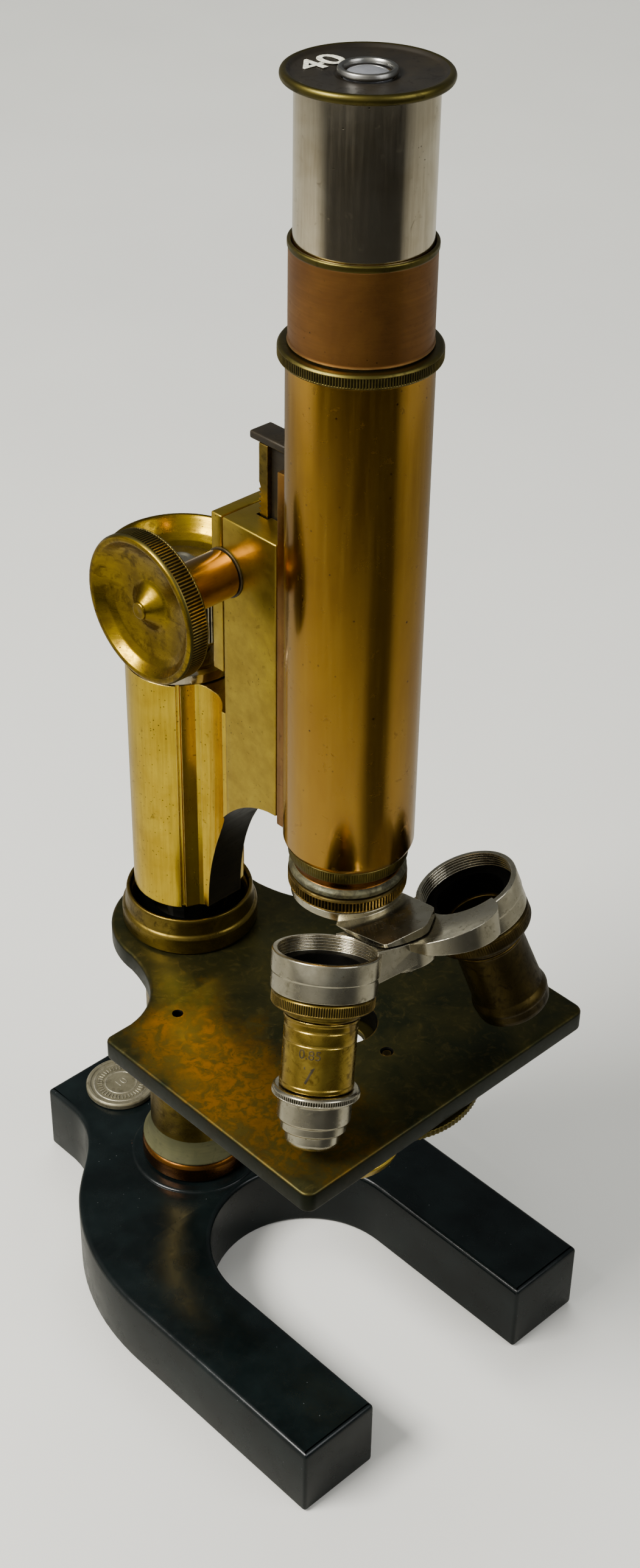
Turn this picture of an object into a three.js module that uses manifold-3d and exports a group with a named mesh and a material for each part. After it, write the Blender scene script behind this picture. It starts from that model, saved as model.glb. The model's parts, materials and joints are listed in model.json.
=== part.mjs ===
// Brass compound microscope with a horseshoe foot, a rack and pinion for coarse focus,
// a micrometer head for fine focus and a two-socket revolving nosepiece.
// Millimetres, +Z up, the front of the stand towards -Y, the light path along Z.
import * as THREE from 'three';
import { mergeVertices } from 'three/addons/utils/BufferGeometryUtils.js';
import Module from 'manifold-3d';

const wasm = await Module();
wasm.setup();

// ---------------------------------------------------------------- driving dimensions
const GAP = 0.3; // clearance between neighbouring pieces
const ROUND = 24; // facets of the large turned parts
const FINE = 28; // facets of the body tube and what turns or slides in it
const SMALL = 14; // facets of the small turned parts

const foot = {
  height: 20.2, frontY: -37.85, halfWidth: 46.5, slotRadius: 24.6, slotCentreY: 10.2,
  heelHalfWidth: 15, heelRearY: 97, bevel: 1.2, bossRadius: 17, bossHeight: 0.6,
};
const pillar = { y: 53.2, radius: 11.5, ringRadius: 14, ringTop: 26.5, coveTop: 33, top: 93 };
const stage = {
  top: 98.7, thickness: 5.4, halfWidth: 43.7, frontY: -34.6, rearY: 32.3,
  tabY: 51, tabRadius: 20.4, bevel: 0.8, aperture: 7.5,
};
const disc = { pivotY: -13.9, radius: 21.4, top: 92.9, thickness: 1.6 };
const mirror = { z: 67, radius: 15, tiltDeg: -20, forkRadius: 18.4 };
const collar = { radius: 16.2, top: 108.2, floor: 104.5, bore: 9.1 };
const sleeve = { radius: 13.06, bottom: 110.8, top: 172, prism: 8 };
const block = { halfWidth: 9, frontY: 13.2, rearY: 29.2, top: 219.6, arcZ: 111, arcHeight: 42.7 };
const rack = { halfWidth: 2.65, web: 1.5, frontY: 22.6, rearY: 25.07, bottom: 152, top: 235.5 };
const pinion = { y: 28.5, z: 207.1, teeth: 20, tip: 3.3, root: 2.8, shaft: 2.6 };
const knob = { face: 32, thickness: 5.2, radius: 15.9, hub: 5.2 };
const head = { bottom: 183.2, top: 199, radius: 16.8 };
const tube = { radius: 14, bore: 13.1, bottom: 151, top: 261.2 };
const drawtube = { radius: 12.76, bore: 11.9, bottom: 196, top: 312.1 };
const guide = { radius: 13.55, bottom: 264.9, top: 284.3 };
const eyecap = { radius: 15.24, bottom: 312.4, top: 314.45 };
// The revolving nosepiece turns on an axis that leans forward and meets the tube axis at apexZ.
const nose = {
  apexZ: 206.4, lean: 15.71, yaw: -8.8, reach: 70, socketA: -93.8, socketB: 86.4,
  ring: 11.4, ringHeight: 8.3, thread: 10.2, disc: 12.2, discTop: 139.6, discBottom: 136.8,
};

// The origin is the middle of the footprint on the table.
const originY = (foot.frontY + foot.heelRearY) / 2;

// ---------------------------------------------------------------- materials
function metal(color, roughness, metalness = 1) {
  return new THREE.MeshStandardMaterial({ color, roughness, metalness });
}
const look = {
  enamel: metal(0x0b0d0d, 0.18, 0),
  lacquered: metal(0xb9792f, 0.22),
  yellowBrass: metal(0xc9a13a, 0.3),
  satinBrass: metal(0xa08a45, 0.45),
  patina: metal(0x4a4b2c, 0.5),
  brownBrass: metal(0x6b4a22, 0.42),
  copperBrass: metal(0x8a4b2a, 0.38),
  nickel: metal(0xb5b1a4, 0.25),
  blackened: metal(0x12100d, 0.55, 0.6),
  steel: metal(0x7d7f80, 0.35),
  glass: metal(0xcfe0e4, 0.05, 0),
  silvered: metal(0xe6e8e8, 0.04),
};

// ---------------------------------------------------------------- solids
const DEG = Math.PI / 180;

function toSolid(geometry) {
  const bare = geometry.clone();
  bare.deleteAttribute('normal');
  bare.deleteAttribute('uv');
  const merged = mergeVertices(bare, 1e-4);
  const position = merged.attributes.position.array;
  const faces = [];
  let volume = 0;
  for (let i = 0; i < merged.index.count; i += 3) {
    const [a, b, c] = [0, 1, 2].map((k) => merged.index.getX(i + k));
    if (a === b || b === c || c === a) continue;
    faces.push([a, b, c]);
    const [p, q, r] = [a, b, c].map((k) => new THREE.Vector3().fromArray(position, 3 * k));
    volume += p.dot(q.cross(r)) / 6;
  }
  const triVerts = Uint32Array.from(faces.flatMap(([a, b, c]) => (volume < 0 ? [a, c, b] : [a, b, c])));
  return new wasm.Manifold(new wasm.Mesh({ numProp: 3, vertProperties: Float32Array.from(position), triVerts }));
}

// A turned solid about Z from [radius, height] points.
// A profile off the axis closes on itself.
function turned(profile, segments = ROUND) {
  const points = profile.map(([r, z]) => new THREE.Vector2(r, z));
  const onAxis = profile[0][0] === 0 && profile[profile.length - 1][0] === 0;
  if (!onAxis) points.push(points[0].clone());
  return toSolid(new THREE.LatheGeometry(points, segments).rotateX(Math.PI / 2));
}

function tubeZ(outer, inner, low, high, segments = ROUND) {
  return turned([[inner, low], [outer, low], [outer, high], [inner, high]], segments);
}

function rodZ(radius, low, high, segments = SMALL) {
  return turned([[0, low], [radius, low], [radius, high], [0, high]], segments);
}

function boxOf(x0, x1, y0, y1, z0, z1) {
  const box = new THREE.BoxGeometry(x1 - x0, y1 - y0, z1 - z0);
  return toSolid(box.translate((x0 + x1) / 2, (y0 + y1) / 2, (z0 + z1) / 2));
}

// A plate with the outline of a shape in XY, with an optional bevel that stays inside the outline.
function plate(shape, low, high, bevel = 0, curveSegments = 10) {
  const options = {
    depth: high - low - 2 * bevel, bevelEnabled: bevel > 0, bevelThickness: bevel,
    bevelSize: bevel, bevelOffset: -bevel, bevelSegments: 2, curveSegments,
  };
  return toSolid(new THREE.ExtrudeGeometry(shape, options).translate(0, 0, low + bevel));
}

// A bar along X with an outline given as [y, z] points.
function barX(points, x0, x1) {
  const shape = new THREE.Shape(points.map(([y, z]) => new THREE.Vector2(y, z)));
  const bar = new THREE.ExtrudeGeometry(shape, { depth: x1 - x0, bevelEnabled: false, curveSegments: 16 });
  const turn = new THREE.Matrix4().makeBasis(
    new THREE.Vector3(0, 1, 0), new THREE.Vector3(0, 0, 1), new THREE.Vector3(1, 0, 0));
  return toSolid(bar.applyMatrix4(turn).translate(x0, 0, 0));
}

function moved(solid, x, y, z) {
  return solid.translate([x, y, z]);
}

// Lays a solid turned about Z along X, so that its height becomes x.
function alongX(solid) {
  return solid.rotate([0, 90, 0]);
}

// Lays a solid turned about Z along Y, so that its height becomes y.
function alongY(solid) {
  return solid.rotate([-90, 0, 0]);
}

function aboutPillar(solid) {
  return moved(solid, 0, pillar.y, 0);
}

const stand = new THREE.Group();
stand.position.y = -originY;

function node(name, solid, material, parent = stand) {
  const mesh = solid.getMesh();
  const geometry = new THREE.BufferGeometry();
  geometry.setAttribute('position', new THREE.BufferAttribute(Float32Array.from(mesh.vertProperties), 3));
  geometry.setIndex(new THREE.BufferAttribute(Uint32Array.from(mesh.triVerts), 1));
  geometry.computeVertexNormals();
  const part = new THREE.Mesh(geometry, material);
  part.name = name;
  parent.add(part);
  return part;
}

// ---------------------------------------------------------------- foot and pillar
function footOutline() {
  const shape = new THREE.Shape();
  const { halfWidth, heelHalfWidth, heelRearY, frontY, slotRadius, slotCentreY } = foot;
  shape.moveTo(slotRadius, frontY);
  shape.lineTo(halfWidth, frontY);
  shape.lineTo(halfWidth, 22);
  shape.quadraticCurveTo(halfWidth, 44, 34, 60);
  shape.bezierCurveTo(27, 69, heelHalfWidth + 0.6, 73, heelHalfWidth, 87);
  shape.lineTo(heelHalfWidth, heelRearY);
  shape.lineTo(-heelHalfWidth, heelRearY);
  shape.lineTo(-heelHalfWidth, 87);
  shape.bezierCurveTo(-heelHalfWidth - 0.6, 73, -27, 69, -34, 60);
  shape.quadraticCurveTo(-halfWidth, 44, -halfWidth, 22);
  shape.lineTo(-halfWidth, frontY);
  shape.lineTo(-slotRadius, frontY);
  shape.lineTo(-slotRadius, slotCentreY);
  shape.absarc(0, slotCentreY, slotRadius, Math.PI, 0, true);
  return shape;
}

function buildFoot() {
  const boss = aboutPillar(rodZ(foot.bossRadius, foot.height - 1, foot.height + foot.bossHeight, ROUND));
  const boltHole = aboutPillar(rodZ(3.7, -1, foot.height + 2).add(rodZ(7, -1, 6)));
  return plate(footOutline(), 0, foot.height, foot.bevel, 12).add(boss).subtract(boltHole);
}

function buildPillar() {
  const { radius, coveTop, top } = pillar;
  const low = foot.height + foot.bossHeight + GAP;
  const shaft = turned([
    [0, low], [8, low], [8, 26.8], [13.6, 26.8], [13.2, 28], [12.2, 30], [radius + 0.1, coveTop],
    [radius, 36], [radius, 84], [14.5, 88], [14.5, top], [0, top],
  ]);
  return aboutPillar(shaft.subtract(rodZ(3.7, 0, 36)).subtract(rodZ(9, 72, top + 1, ROUND)));
}

function buildPlaque() {
  const low = foot.height + GAP;
  const rim = turned([
    [0, low], [9.4, low], [9.4, low + 1.2], [8.9, low + 1.7], [8.2, low + 1.7], [7.9, low + 1.3], [0, low + 1.3],
  ]);
  return moved(rim, 0, 84.3, 0);
}

node('foot', buildFoot(), look.enamel);
node('foot_bolt', aboutPillar(turned([[0, 1.6], [6.4, 1.6], [6.4, 5.7], [3.3, 5.7], [3.3, 34], [0, 34]], SMALL)
  .subtract(boxOf(-7, 7, -0.7, 0.7, 0, 3))), look.steel);
node('heel_plaque', buildPlaque(), look.nickel);
node('pillar_base_ring', aboutPillar(turned([
  [8.3, foot.height + 0.9], [pillar.ringRadius, foot.height + 0.9], [pillar.ringRadius, 25.9],
  [13.6, pillar.ringTop], [8.3, pillar.ringTop],
])), look.copperBrass);
node('pillar', buildPillar(), look.brownBrass);

// ---------------------------------------------------------------- stage
function stageOutline() {
  const shape = new THREE.Shape();
  const { halfWidth, frontY, rearY, tabY, tabRadius } = stage;
  const corner = 1.2;
  shape.moveTo(-halfWidth + corner, frontY);
  shape.lineTo(halfWidth - corner, frontY);
  shape.lineTo(halfWidth, frontY + corner);
  shape.lineTo(halfWidth, rearY - corner);
  shape.lineTo(halfWidth - corner, rearY);
  shape.lineTo(36, rearY);
  shape.quadraticCurveTo(23, 34, tabRadius, tabY);
  shape.absarc(0, tabY, tabRadius, 0, Math.PI, false);
  shape.quadraticCurveTo(-23, 34, -36, rearY);
  shape.lineTo(-halfWidth + corner, rearY);
  shape.lineTo(-halfWidth, rearY - corner);
  shape.lineTo(-halfWidth, frontY + corner);
  return shape;
}

function buildStage() {
  const low = stage.top - stage.thickness;
  const top = stage.top + 1;
  let body = plate(stageOutline(), low, stage.top, stage.bevel, 8);
  body = body.subtract(rodZ(stage.aperture, low - 1, top, ROUND));
  body = body.subtract(moved(rodZ(1.3, low - 1, top, 12), 0, disc.pivotY, 0));
  body = body.subtract(aboutPillar(rodZ(9, low - 1, top, ROUND)));
  for (const side of [-1, 1]) {
    body = body.subtract(moved(rodZ(1.3, low - 1, top, 12), side * 26, 27.5, 0));
  }
  return body;
}

function buildApertureDisc() {
  const low = disc.top - disc.thickness;
  let body = rodZ(disc.radius, low, disc.top, ROUND).subtract(rodZ(1.35, low - 1, disc.top + 1, 12));
  const openings = [5, 4, 3.2, 2.4, 1.7, 1.1];
  openings.forEach((radius, i) => {
    const angle = (90 + i * 60) * DEG;
    const reach = -disc.pivotY;
    const hole = rodZ(radius, low - 1, disc.top + 1, 16);
    body = body.subtract(moved(hole, reach * Math.cos(angle), reach * Math.sin(angle), 0));
  });
  return moved(body, 0, disc.pivotY, 0);
}

node('stage', buildStage(), look.patina);
node('stage_collar', aboutPillar(turned([
  [collar.bore, 99], [collar.radius, 99], [collar.radius, 103.4], [15.5, 104.1], [15.2, 106.4],
  [15, collar.top], [14.1, collar.top], [13.9, collar.floor], [collar.bore, collar.floor],
])), look.brownBrass);
node('aperture_disc', buildApertureDisc(), look.patina);
node('aperture_disc_screw', moved(turned([
  [0, 89.6], [3, 89.6], [3, 91], [1.05, 91], [1.05, 98.2], [0, 98.2],
], 12), 0, disc.pivotY, 0), look.brownBrass);

// ---------------------------------------------------------------- mirror under the stage
function buildFork() {
  const { z, forkRadius } = mirror;
  const arc = new THREE.CatmullRomCurve3(Array.from({ length: 13 }, (_, i) => {
    const angle = i * Math.PI / 12;
    return new THREE.Vector3(forkRadius * Math.cos(angle), forkRadius * Math.sin(angle), 0);
  }));
  const section = new THREE.Shape(Array.from({ length: 6 }, (_, i) => {
    const angle = i * Math.PI / 3;
    return new THREE.Vector2(1.5 * Math.cos(angle), 1.5 * Math.sin(angle));
  }));
  let fork = toSolid(new THREE.ExtrudeGeometry(section, { steps: 14, extrudePath: arc }));
  for (const side of [-1, 1]) {
    fork = fork.add(alongX(rodZ(2.2, side > 0 ? 16.7 : -20, side > 0 ? 20 : -16.7, 12)));
    fork = fork.subtract(alongX(rodZ(1.2, side > 0 ? 15 : -19.2, side > 0 ? 19.2 : -15, 12)));
  }
  fork = fork.add(alongY(rodZ(3.2, 17.2, 23.4, 16))).add(alongY(rodZ(1.5, 23, 28, 12)));
  return moved(fork, 0, 0, z);
}

function buildMirrorFrame() {
  let frame = turned([
    [0, -2.6], [12.5, -2.6], [mirror.radius, -1], [mirror.radius, 2.2], [13.9, 2.2], [13.9, 0.2], [0, 0.2],
  ]);
  frame = frame.add(alongX(rodZ(0.9, 14, 18.6, 10))).add(alongX(rodZ(0.9, -18.6, -14, 10)));
  return moved(frame.rotate([-mirror.tiltDeg, 0, 0]), 0, 0, mirror.z);
}

node('mirror_bracket', moved(alongY(rodZ(3, 23.7, 41.4, 16).subtract(rodZ(1.8, 23, 29, 12))), 0, 0, mirror.z),
  look.brownBrass);
node('mirror_fork', buildFork(), look.brownBrass);
node('mirror_frame', buildMirrorFrame(), look.satinBrass);
node('mirror_glass', moved(rodZ(13.6, 0.5, 1.9, ROUND).rotate([-mirror.tiltDeg, 0, 0]), 0, 0, mirror.z),
  look.silvered);

// ---------------------------------------------------------------- limb: prism, sleeve, neck, block
// A triangle with blunt corners, one flat towards the front.
function prismOutline(grow) {
  const shape = new THREE.Shape();
  const corner = 1.4;
  const radius = sleeve.prism + grow;
  for (let i = 0; i < 3; i++) {
    const angle = (90 + i * 120) * DEG;
    const out = new THREE.Vector2(Math.cos(angle), Math.sin(angle)).multiplyScalar(radius);
    const side = new THREE.Vector2(-Math.sin(angle), Math.cos(angle)).multiplyScalar(corner);
    const first = out.clone().sub(side);
    const second = out.clone().add(side);
    if (i === 0) shape.moveTo(first.x, first.y);
    else shape.lineTo(first.x, first.y);
    shape.lineTo(second.x, second.y);
  }
  return shape;
}

// The opening under the limb, a quarter of an ellipse seen from the side.
function archCutter(x0, x1) {
  const reach = 27.7;
  const points = [[-30, 90], [block.frontY - 0.4 + reach, 90]];
  for (let i = 0; i <= 14; i++) {
    const angle = i * Math.PI / 28;
    const y = block.frontY - 0.4 + reach * Math.cos(angle);
    points.push([y, block.arcZ + block.arcHeight * Math.sin(angle)]);
  }
  points.push([-30, block.arcZ + block.arcHeight]);
  return barX(points, x0, x1);
}

function neckOutline() {
  const side = [[9.4, 45.2], [7, 42.8], [5.5, 40.7], [4.9, 38.2], [5.3, 35.6], [6.4, 33.2], [8.7, 30.8], [8.7, 29.5]];
  const shape = new THREE.Shape();
  shape.moveTo(0, 50);
  for (const [x, y] of side) shape.lineTo(x, y);
  for (const [x, y] of side.toReversed()) shape.lineTo(-x, y);
  return shape;
}

function buildSleeve() {
  let body = aboutPillar(rodZ(sleeve.radius, sleeve.bottom, sleeve.top, FINE));
  body = body.add(plate(neckOutline(), sleeve.bottom, 171.5));
  body = body.subtract(archCutter(-20, 20));
  body = body.subtract(aboutPillar(plate(prismOutline(0.4), 100, 161)));
  body = body.subtract(aboutPillar(rodZ(6.6, 158, 169.5)));
  return body.subtract(aboutPillar(rodZ(2.5, 160, 180)));
}

function buildSpring() {
  const turns = 4;
  const steps = turns * 9;
  const points = Array.from({ length: steps + 1 }, (_, i) => {
    const angle = i * 2 * Math.PI / 9;
    return new THREE.Vector3(4.4 * Math.cos(angle), 4.4 * Math.sin(angle), 160 + 8 * i / steps);
  });
  const section = new THREE.Shape(Array.from({ length: 5 }, (_, i) => {
    const angle = i * 2 * Math.PI / 5;
    return new THREE.Vector2(0.5 * Math.cos(angle), 0.5 * Math.sin(angle));
  }));
  const path = new THREE.CatmullRomCurve3(points);
  return aboutPillar(toSolid(new THREE.ExtrudeGeometry(section, { steps, extrudePath: path })));
}

function buildBlock() {
  const { halfWidth, frontY, rearY, top } = block;
  const slot = 0.45;
  let body = boxOf(-halfWidth, halfWidth, frontY, rearY, 130, top);
  body = body.subtract(archCutter(-20, 20));
  body = body.subtract(rodZ(tube.radius + 0.35, 120, 240, FINE));
  body = body.subtract(boxOf(-rack.web - slot, rack.web + slot, 0, 24, 120, 240));
  body = body.subtract(boxOf(-rack.halfWidth - slot, rack.halfWidth + slot,
    rack.frontY - slot, rack.rearY + slot, 120, 240));
  const bore = moved(alongX(rodZ(pinion.shaft + GAP, -20, 20)), 0, pinion.y, pinion.z);
  const pocket = moved(alongX(rodZ(pinion.tip + 0.5, -3.4, 3.4)), 0, pinion.y, pinion.z);
  return body.subtract(bore).subtract(pocket);
}

function buildBackPlate() {
  let body = boxOf(-block.halfWidth, block.halfWidth, block.rearY + GAP, 32.6, 182.5, block.top);
  const bore = moved(alongX(rodZ(pinion.shaft + GAP, -20, 20)), 0, pinion.y, pinion.z);
  const pocket = moved(alongX(rodZ(pinion.tip + 0.5, -3.4, 3.4)), 0, pinion.y, pinion.z);
  for (const z of [188, 215.6]) {
    body = body.subtract(moved(alongY(rodZ(1.1, 28, 34, 10)), 0, 0, z));
  }
  return body.subtract(bore).subtract(pocket);
}

node('prism_bar', aboutPillar(rodZ(8.7, 73, 99, ROUND).add(plate(prismOutline(0), 98, 158))), look.steel);
node('limb_sleeve', buildSleeve(), look.yellowBrass);
node('limb_cap', aboutPillar(tubeZ(13, 6.5, 172.3, 176, ROUND)), look.nickel);
node('fine_spring', buildSpring(), look.steel);
node('rack_block', buildBlock(), look.satinBrass);
node('block_back_plate', buildBackPlate(), look.satinBrass);
for (const [name, z] of [['back_plate_screw_lower', 188], ['back_plate_screw_upper', 215.6]]) {
  const screw = turned([[0, 29.6], [0.8, 29.6], [0.8, 32.9], [2.3, 32.9], [2, 33.9], [0, 33.9]], 14);
  const driverSlot = boxOf(-3, 3, -0.3, 0.3, 33.4, 35);
  node(name, moved(alongY(screw.subtract(driverSlot)), 0, 0, z), look.brownBrass);
}

// ---------------------------------------------------------------- fine focus
node('micrometer_screw', aboutPillar(turned([
  [0, 158.3], [1.2, 158.9], [2.2, 159.6], [2.2, 181], [0, 181],
], SMALL)), look.steel);
node('fine_focus_head', aboutPillar(turned([
  [2.5, 177], [6.2, 177], [6.2, head.bottom], [head.radius, head.bottom], [head.radius, head.top - 0.6],
  [head.radius - 0.6, head.top], [head.radius - 1.6, head.top], [12.6, 195.2], [9.3, 194], [2.5, 194],
])), look.yellowBrass);
node('fine_focus_cap', aboutPillar(turned([
  [0, 181.4], [2.1, 181.4], [2.1, 194.3], [8.8, 194.3], [8.2, 195.4], [0, 195.9],
])), look.nickel);

// ---------------------------------------------------------------- coarse focus
function gearOutline() {
  const points = [];
  for (let i = 0; i < pinion.teeth; i++) {
    for (const [part, radius] of [[0, pinion.root], [0.28, pinion.root], [0.42, pinion.tip], [0.86, pinion.tip]]) {
      const angle = (i + part) * 2 * Math.PI / pinion.teeth;
      points.push(new THREE.Vector2(radius * Math.cos(angle), radius * Math.sin(angle)));
    }
  }
  return new THREE.Shape(points);
}

function onPinionAxis(solid) {
  return moved(alongX(solid), 0, pinion.y, pinion.z);
}

function buildKnob(side) {
  const { face, thickness, radius, hub } = knob;
  const back = face - thickness;
  const body = turned([
    [2.5, 9.4], [hub, 9.4], [hub, back + 0.4], [12.5, back], [radius, back], [radius, face - 0.5],
    [radius - 0.6, face], [radius - 1.3, face], [12.8, 30.2], [10.2, 28.9], [6.4, 28.7], [5, 28.5],
    [1.1, 31.7], [0, 31.8], [0, 27], [2.5, 27],
  ].map(([r, h]) => [r, side * h]));
  return onPinionAxis(body);
}

const pinionSolid = plate(gearOutline(), -3.1, 3.1)
  .add(rodZ(pinion.shaft, -9.1, 9.1))
  .add(rodZ(2.2, -26.6, 26.6));
node('pinion', onPinionAxis(pinionSolid), look.steel);
node('coarse_knob_left', buildKnob(-1), look.yellowBrass);
node('coarse_knob_right', buildKnob(1), look.yellowBrass);

// ---------------------------------------------------------------- body tube
function buildMainTube() {
  const saddle = boxOf(-9, 9, 8, 12.9, rack.bottom - 0.2, rack.top + 0.4);
  const shell = turned([
    [tube.bore, tube.bottom], [tube.radius - 0.8, tube.bottom], [tube.radius, tube.bottom + 1.2],
    [tube.radius, tube.top], [tube.bore, tube.top],
  ], FINE);
  return shell.add(saddle.subtract(rodZ(tube.radius - 0.4, 100, 300, FINE)));
}

function buildRack() {
  const pitch = 2 * Math.PI * (pinion.tip + 0.1) / pinion.teeth;
  const depth = 0.55;
  const points = [[rack.rearY - depth, rack.bottom]];
  const teeth = Math.floor((226 - rack.bottom) / pitch);
  for (let i = 0; i < teeth; i++) {
    const z = rack.bottom + i * pitch;
    points.push([rack.rearY - depth, z + 0.3 * pitch], [rack.rearY, z + 0.5 * pitch]);
    points.push([rack.rearY, z + 0.8 * pitch], [rack.rearY - depth, z + pitch]);
  }
  points.push([rack.rearY, 227], [rack.rearY, rack.top]);
  points.push([rack.frontY, rack.top], [rack.frontY, rack.bottom]);
  const bar = barX(points, -rack.halfWidth, rack.halfWidth);
  return bar.add(boxOf(-rack.web, rack.web, tube.radius + 0.3, 23, rack.bottom, rack.top));
}

node('main_tube', buildMainTube(), look.lacquered);
node('rack_slide', buildRack(), look.brownBrass);
node('rack_stop_plate', boxOf(-2.9, 2.9, tube.radius + 0.4, 27.7, rack.top + 0.15, 237.4), look.patina);
node('tube_top_ring', turned([
  [tube.bore, 261.5], [15.1, 261.5], [15.5, 261.9], [15.5, 264.2], [15.1, 264.6], [tube.bore, 264.6],
], FINE), look.patina);
node('drawtube_guide', turned([
  [13.06, guide.bottom], [guide.radius, guide.bottom], [guide.radius, 283.3],
  [13.75, 283.5], [13.75, guide.top], [13.06, guide.top],
], FINE), look.copperBrass);
node('tube_adapter', turned([
  [10.4, 143.8], [12.7, 143.8], [12.7, 145.2], [11.6, 145.6], [11.6, 147.8], [12.9, 148.1], [12.9, 150.7],
  [12.75, 150.7], [12.75, 155], [11.9, 155], [11.9, 150.2], [10.4, 150.2],
], FINE), look.patina);
node('nosepiece_lock_ring', turned([
  [10.4, 139.9], [12.6, 139.9], [12.9, 140.2], [12.9, 143.2], [12.6, 143.5], [10.4, 143.5],
], FINE), look.patina);

// ---------------------------------------------------------------- drawtube and eyepiece
node('drawtube', turned([
  [9, drawtube.bottom], [drawtube.radius, drawtube.bottom], [drawtube.radius, drawtube.top],
  [drawtube.bore, drawtube.top], [drawtube.bore, drawtube.bottom + 1.5], [9, drawtube.bottom + 1.5],
], FINE), look.nickel);
node('eyepiece_tube', tubeZ(11.6, 10.7, 268, 312.1, FINE), look.nickel);
node('eyepiece_cap', turned([
  [4.7, 312.4], [14.6, eyecap.bottom], [eyecap.radius, 313], [eyecap.radius, 313.9], [14.7, eyecap.top],
  [13.6, eyecap.top], [13.2, 313.5], [5.5, 313.5], [5.5, 313.2], [4.7, 313.2],
], FINE), look.blackened);
node('eye_lens_ring', turned([
  [4.2, 313.8], [5.4, 313.8], [5.2, 314.8], [4.4, 314.8],
], SMALL), look.nickel);
node('eye_lens', turned([[0, 310], [4.3, 310.8], [4.3, 312.6], [3.9, 313.3], [0, 314.2]], SMALL), look.glass);
node('field_lens', turned([[0, 270.2], [9, 271.4], [10.3, 272.4], [10.3, 273.6], [0, 273.6]], SMALL), look.glass);

// ---------------------------------------------------------------- revolving nosepiece
// Frames: the pivot frame has +Z up the pivot axis and +X towards socket B;
// each objective frame has +Z up the objective's own axis, with its origin at the socket's rim.
const lean = nose.lean * DEG;
const pivotDown = new THREE.Vector3(0, -Math.sin(lean), -Math.cos(lean))
  .applyAxisAngle(new THREE.Vector3(0, 0, 1), nose.yaw * DEG);
const apex = new THREE.Vector3(0, 0, nose.apexZ);
const pivotPoint = apex.clone().addScaledVector(pivotDown, nose.reach * Math.cos(lean));

function objectiveDown(turnDeg) {
  return new THREE.Vector3(0, 0, -1).applyAxisAngle(pivotDown, turnDeg * DEG);
}

function socketCentre(turnDeg) {
  return apex.clone().addScaledVector(objectiveDown(turnDeg), nose.reach);
}

function frameAt(origin, up, towards) {
  const z = up.clone().normalize();
  const x = towards.clone().addScaledVector(z, -towards.dot(z)).normalize();
  const y = new THREE.Vector3().crossVectors(z, x);
  return new THREE.Matrix4().makeBasis(x, y, z).setPosition(origin);
}

const pivotUp = pivotDown.clone().negate();
const towardsB = socketCentre(nose.socketB).sub(pivotPoint);
const pivotFrame = frameAt(pivotPoint, pivotUp, towardsB);

function socketFrame(turnDeg) {
  return frameAt(socketCentre(turnDeg), objectiveDown(turnDeg).negate(), towardsB);
}

function place(solid, frame) {
  return solid.transform(frame.elements);
}

const toPivot = pivotFrame.clone().invert();
const span = nose.reach * Math.sin(lean);

// The cone that the socket rims sweep as the nosepiece turns, in the pivot frame.
function sweptCone(lift) {
  const slope = Math.tan(lean);
  const far = 40;
  const low = -span * slope + lift;
  return turned([[0, -60], [far, -60], [far, low + far * slope], [0, low]], 48);
}

// The tongue that carries the pivot: square at the left and front, with its right front corner cut off.
function tongueOutline() {
  const shape = new THREE.Shape();
  shape.moveTo(-9.5, 14);
  shape.lineTo(-8.9, -5.6);
  shape.lineTo(-7.9, -6.7);
  shape.lineTo(2.1, -6.7);
  shape.lineTo(8.9, -1.6);
  shape.lineTo(9.5, 14);
  return shape;
}

function buildNoseplate() {
  let body = place(plate(tongueOutline(), -6, -1.2), pivotFrame);
  body = body.add(rodZ(nose.disc, nose.discBottom - 2, nose.discTop, FINE));
  body = body.subtract(place(sweptCone(0.35), pivotFrame));
  body = body.subtract(boxOf(-40, 40, -60, 40, 100, nose.discBottom));
  body = body.add(tubeZ(10.1, 8.8, 137, 149.9, FINE)).subtract(rodZ(8.8, 120, 160, FINE));
  return body.subtract(place(rodZ(2.7, -12, -2.4, 14), pivotFrame));
}

// The flat tab beside socket B, which the fingers turn.
function tabOutline() {
  const shape = new THREE.Shape();
  shape.moveTo(-4, -3);
  shape.lineTo(-2.2, -11.5);
  shape.quadraticCurveTo(2, -17.7, 8, -17.9);
  shape.quadraticCurveTo(13.2, -17.8, 15.4, -14.6);
  shape.quadraticCurveTo(17.6, -11.3, 17.6, -8.4);
  shape.lineTo(14, -4);
  shape.lineTo(9, 3);
  return shape;
}

function buildNosepieceArm() {
  let body = rodZ(7.2, -9.6, 2, ROUND);
  body = body.add(boxOf(-span, span, -7, 7, -8.6, 2));
  body = body.add(plate(tabOutline(), -4.9, 3, 0, 6));
  body = place(body.intersect(sweptCone(0)), pivotFrame);
  for (const turnDeg of [nose.socketA, nose.socketB]) {
    const frame = socketFrame(turnDeg);
    body = body.add(place(rodZ(nose.ring, -nose.ringHeight, 0, FINE), frame));
  }
  for (const turnDeg of [nose.socketA, nose.socketB]) {
    const frame = socketFrame(turnDeg);
    body = body.subtract(place(rodZ(nose.thread, -14, 6, FINE), frame));
  }
  return body.subtract(place(rodZ(2.7, -14, 4, 14), pivotFrame));
}

node('nosepiece_fixed_plate', buildNoseplate(), look.nickel);
node('nosepiece_arm', buildNosepieceArm(), look.nickel);
const pivotScrew = turned([[0, -12.2], [3, -12.2], [3.7, -11.6], [3.7, -9.9], [2.4, -9.9], [2.4, -2.8], [0, -2.8]], 20);
node('nosepiece_pivot_screw', place(pivotScrew.subtract(boxOf(-4, 4, -0.4, 0.4, -13, -11.5)), pivotFrame),
  look.nickel);

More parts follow.
